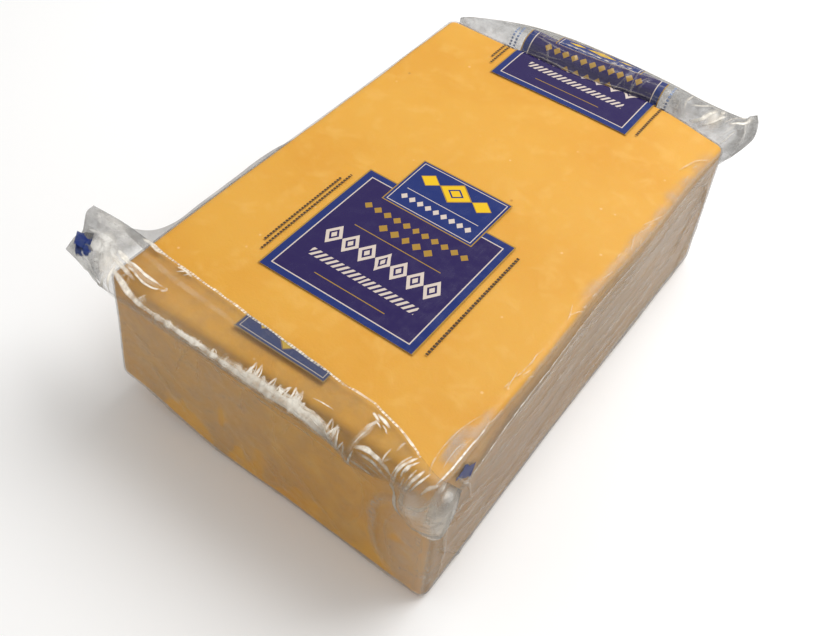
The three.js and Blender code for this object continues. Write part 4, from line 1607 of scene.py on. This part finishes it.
class CHEDDAR_OT_stage(bpy.types.Operator):
    """Set up the floor, the lights and the camera"""

    bl_idname = "cheddar.stage"
    bl_label = "Stage"

    def execute(self, context):
        scene = context.scene
        settings = scene.cheddar_stage
        floor = bpy.data.meshes.new("floor")
        corners = [(FLOOR_REACH * x, FLOOR_REACH * y, 0) for x, y in ((-1, -1), (1, -1), (1, 1), (-1, 1))]
        floor.from_pydata(corners, [], [(0, 1, 2, 3)])
        material, wiring, shader = new_material("floor_white")
        place = wiring.add("ShaderNodeTexCoord").outputs["Object"]
        tone = wiring.mix((0.95, 0.95, 0.95), (0.97, 0.97, 0.97), wiring.noise(place, 3.0))
        wiring.tree.links.new(tone, shader.inputs["Base Color"])
        shader.inputs["Roughness"].default_value = 0.7
        shader.inputs["Specular IOR Level"].default_value = 0.2
        floor.materials.append(material)
        ground = bpy.data.objects.new("floor", floor)
        scene.collection.objects.link(ground)

        world = bpy.data.worlds.new("surround")
        world.use_nodes = True
        shade = world.node_tree.nodes["Background"]
        shade.inputs["Color"].default_value = (1.0, 0.99, 0.97, 1.0)
        shade.inputs["Strength"].default_value = settings.surround
        scene.world = world
        add_light("overhead", OVERHEAD_PLACE, OVERHEAD_SIZE, settings.overhead_power)
        add_light("side", SIDE_PLACE, SIDE_SIZE, settings.side_power)

        camera = bpy.data.cameras.new("camera")
        camera.lens = settings.lens
        camera.sensor_width = 36.0
        camera.clip_start = 0.01
        holder = bpy.data.objects.new("camera", camera)
        flat = math.cos(settings.elevation)
        back = (
            math.sin(settings.azimuth) * flat,
            -math.cos(settings.azimuth) * flat,
            math.sin(settings.elevation),
        )
        holder.location = CAMERA_PLACE
        holder.rotation_mode = "QUATERNION"
        holder.rotation_quaternion = aimed(back) @ Quaternion((0, 0, 1), settings.roll)
        scene.collection.objects.link(holder)
        scene.camera = holder
        scene.view_settings.view_transform = "Standard"
        scene.cycles.transparent_max_bounces = 32
        return {"FINISHED"}


class CHEDDAR_PT_panel(bpy.types.Panel):
    """Lists the pieces of the bagged loaf"""

    bl_idname = "CHEDDAR_PT_panel"
    bl_label = "Bagged Cheddar"
    bl_space_type = "VIEW_3D"
    bl_region_type = "UI"
    bl_category = "Cheddar"

    def draw(self, context):
        layout = self.layout
        for name in ("cheddar_loaf", "cheddar_film", "cheddar_print", "cheddar_stage"):
            settings = getattr(context.scene, name)
            box = layout.box()
            for label in settings.__annotations__:
                box.prop(settings, label)
        for operator in OPERATORS:
            layout.operator(operator.bl_idname)


OPERATORS = (
    CHEDDAR_OT_stage,
    CHEDDAR_OT_loaf,
    CHEDDAR_OT_body_film,
    CHEDDAR_OT_folded_end,
    CHEDDAR_OT_standing_end,
    CHEDDAR_OT_webs,
)
SETTINGS = {
    "cheddar_loaf": LoafSettings,
    "cheddar_film": FilmSettings,
    "cheddar_print": PrintSettings,
    "cheddar_stage": StageSettings,
}
CLASSES = (*SETTINGS.values(), *OPERATORS, CHEDDAR_PT_panel)


def register():
    for item in CLASSES:
        bpy.utils.register_class(item)
    for name, kind in SETTINGS.items():
        setattr(bpy.types.Scene, name, bpy.props.PointerProperty(type=kind))


def unregister():
    for name in SETTINGS:
        delattr(bpy.types.Scene, name)
    for item in reversed(CLASSES):
        bpy.utils.unregister_class(item)


def main():
    register()
    bpy.ops.cheddar.stage()
    bpy.ops.cheddar.loaf()
    bpy.ops.cheddar.body_film()
    bpy.ops.cheddar.folded_end()
    bpy.ops.cheddar.standing_end()
    bpy.ops.cheddar.webs()


if __name__ == "__main__":
    main()
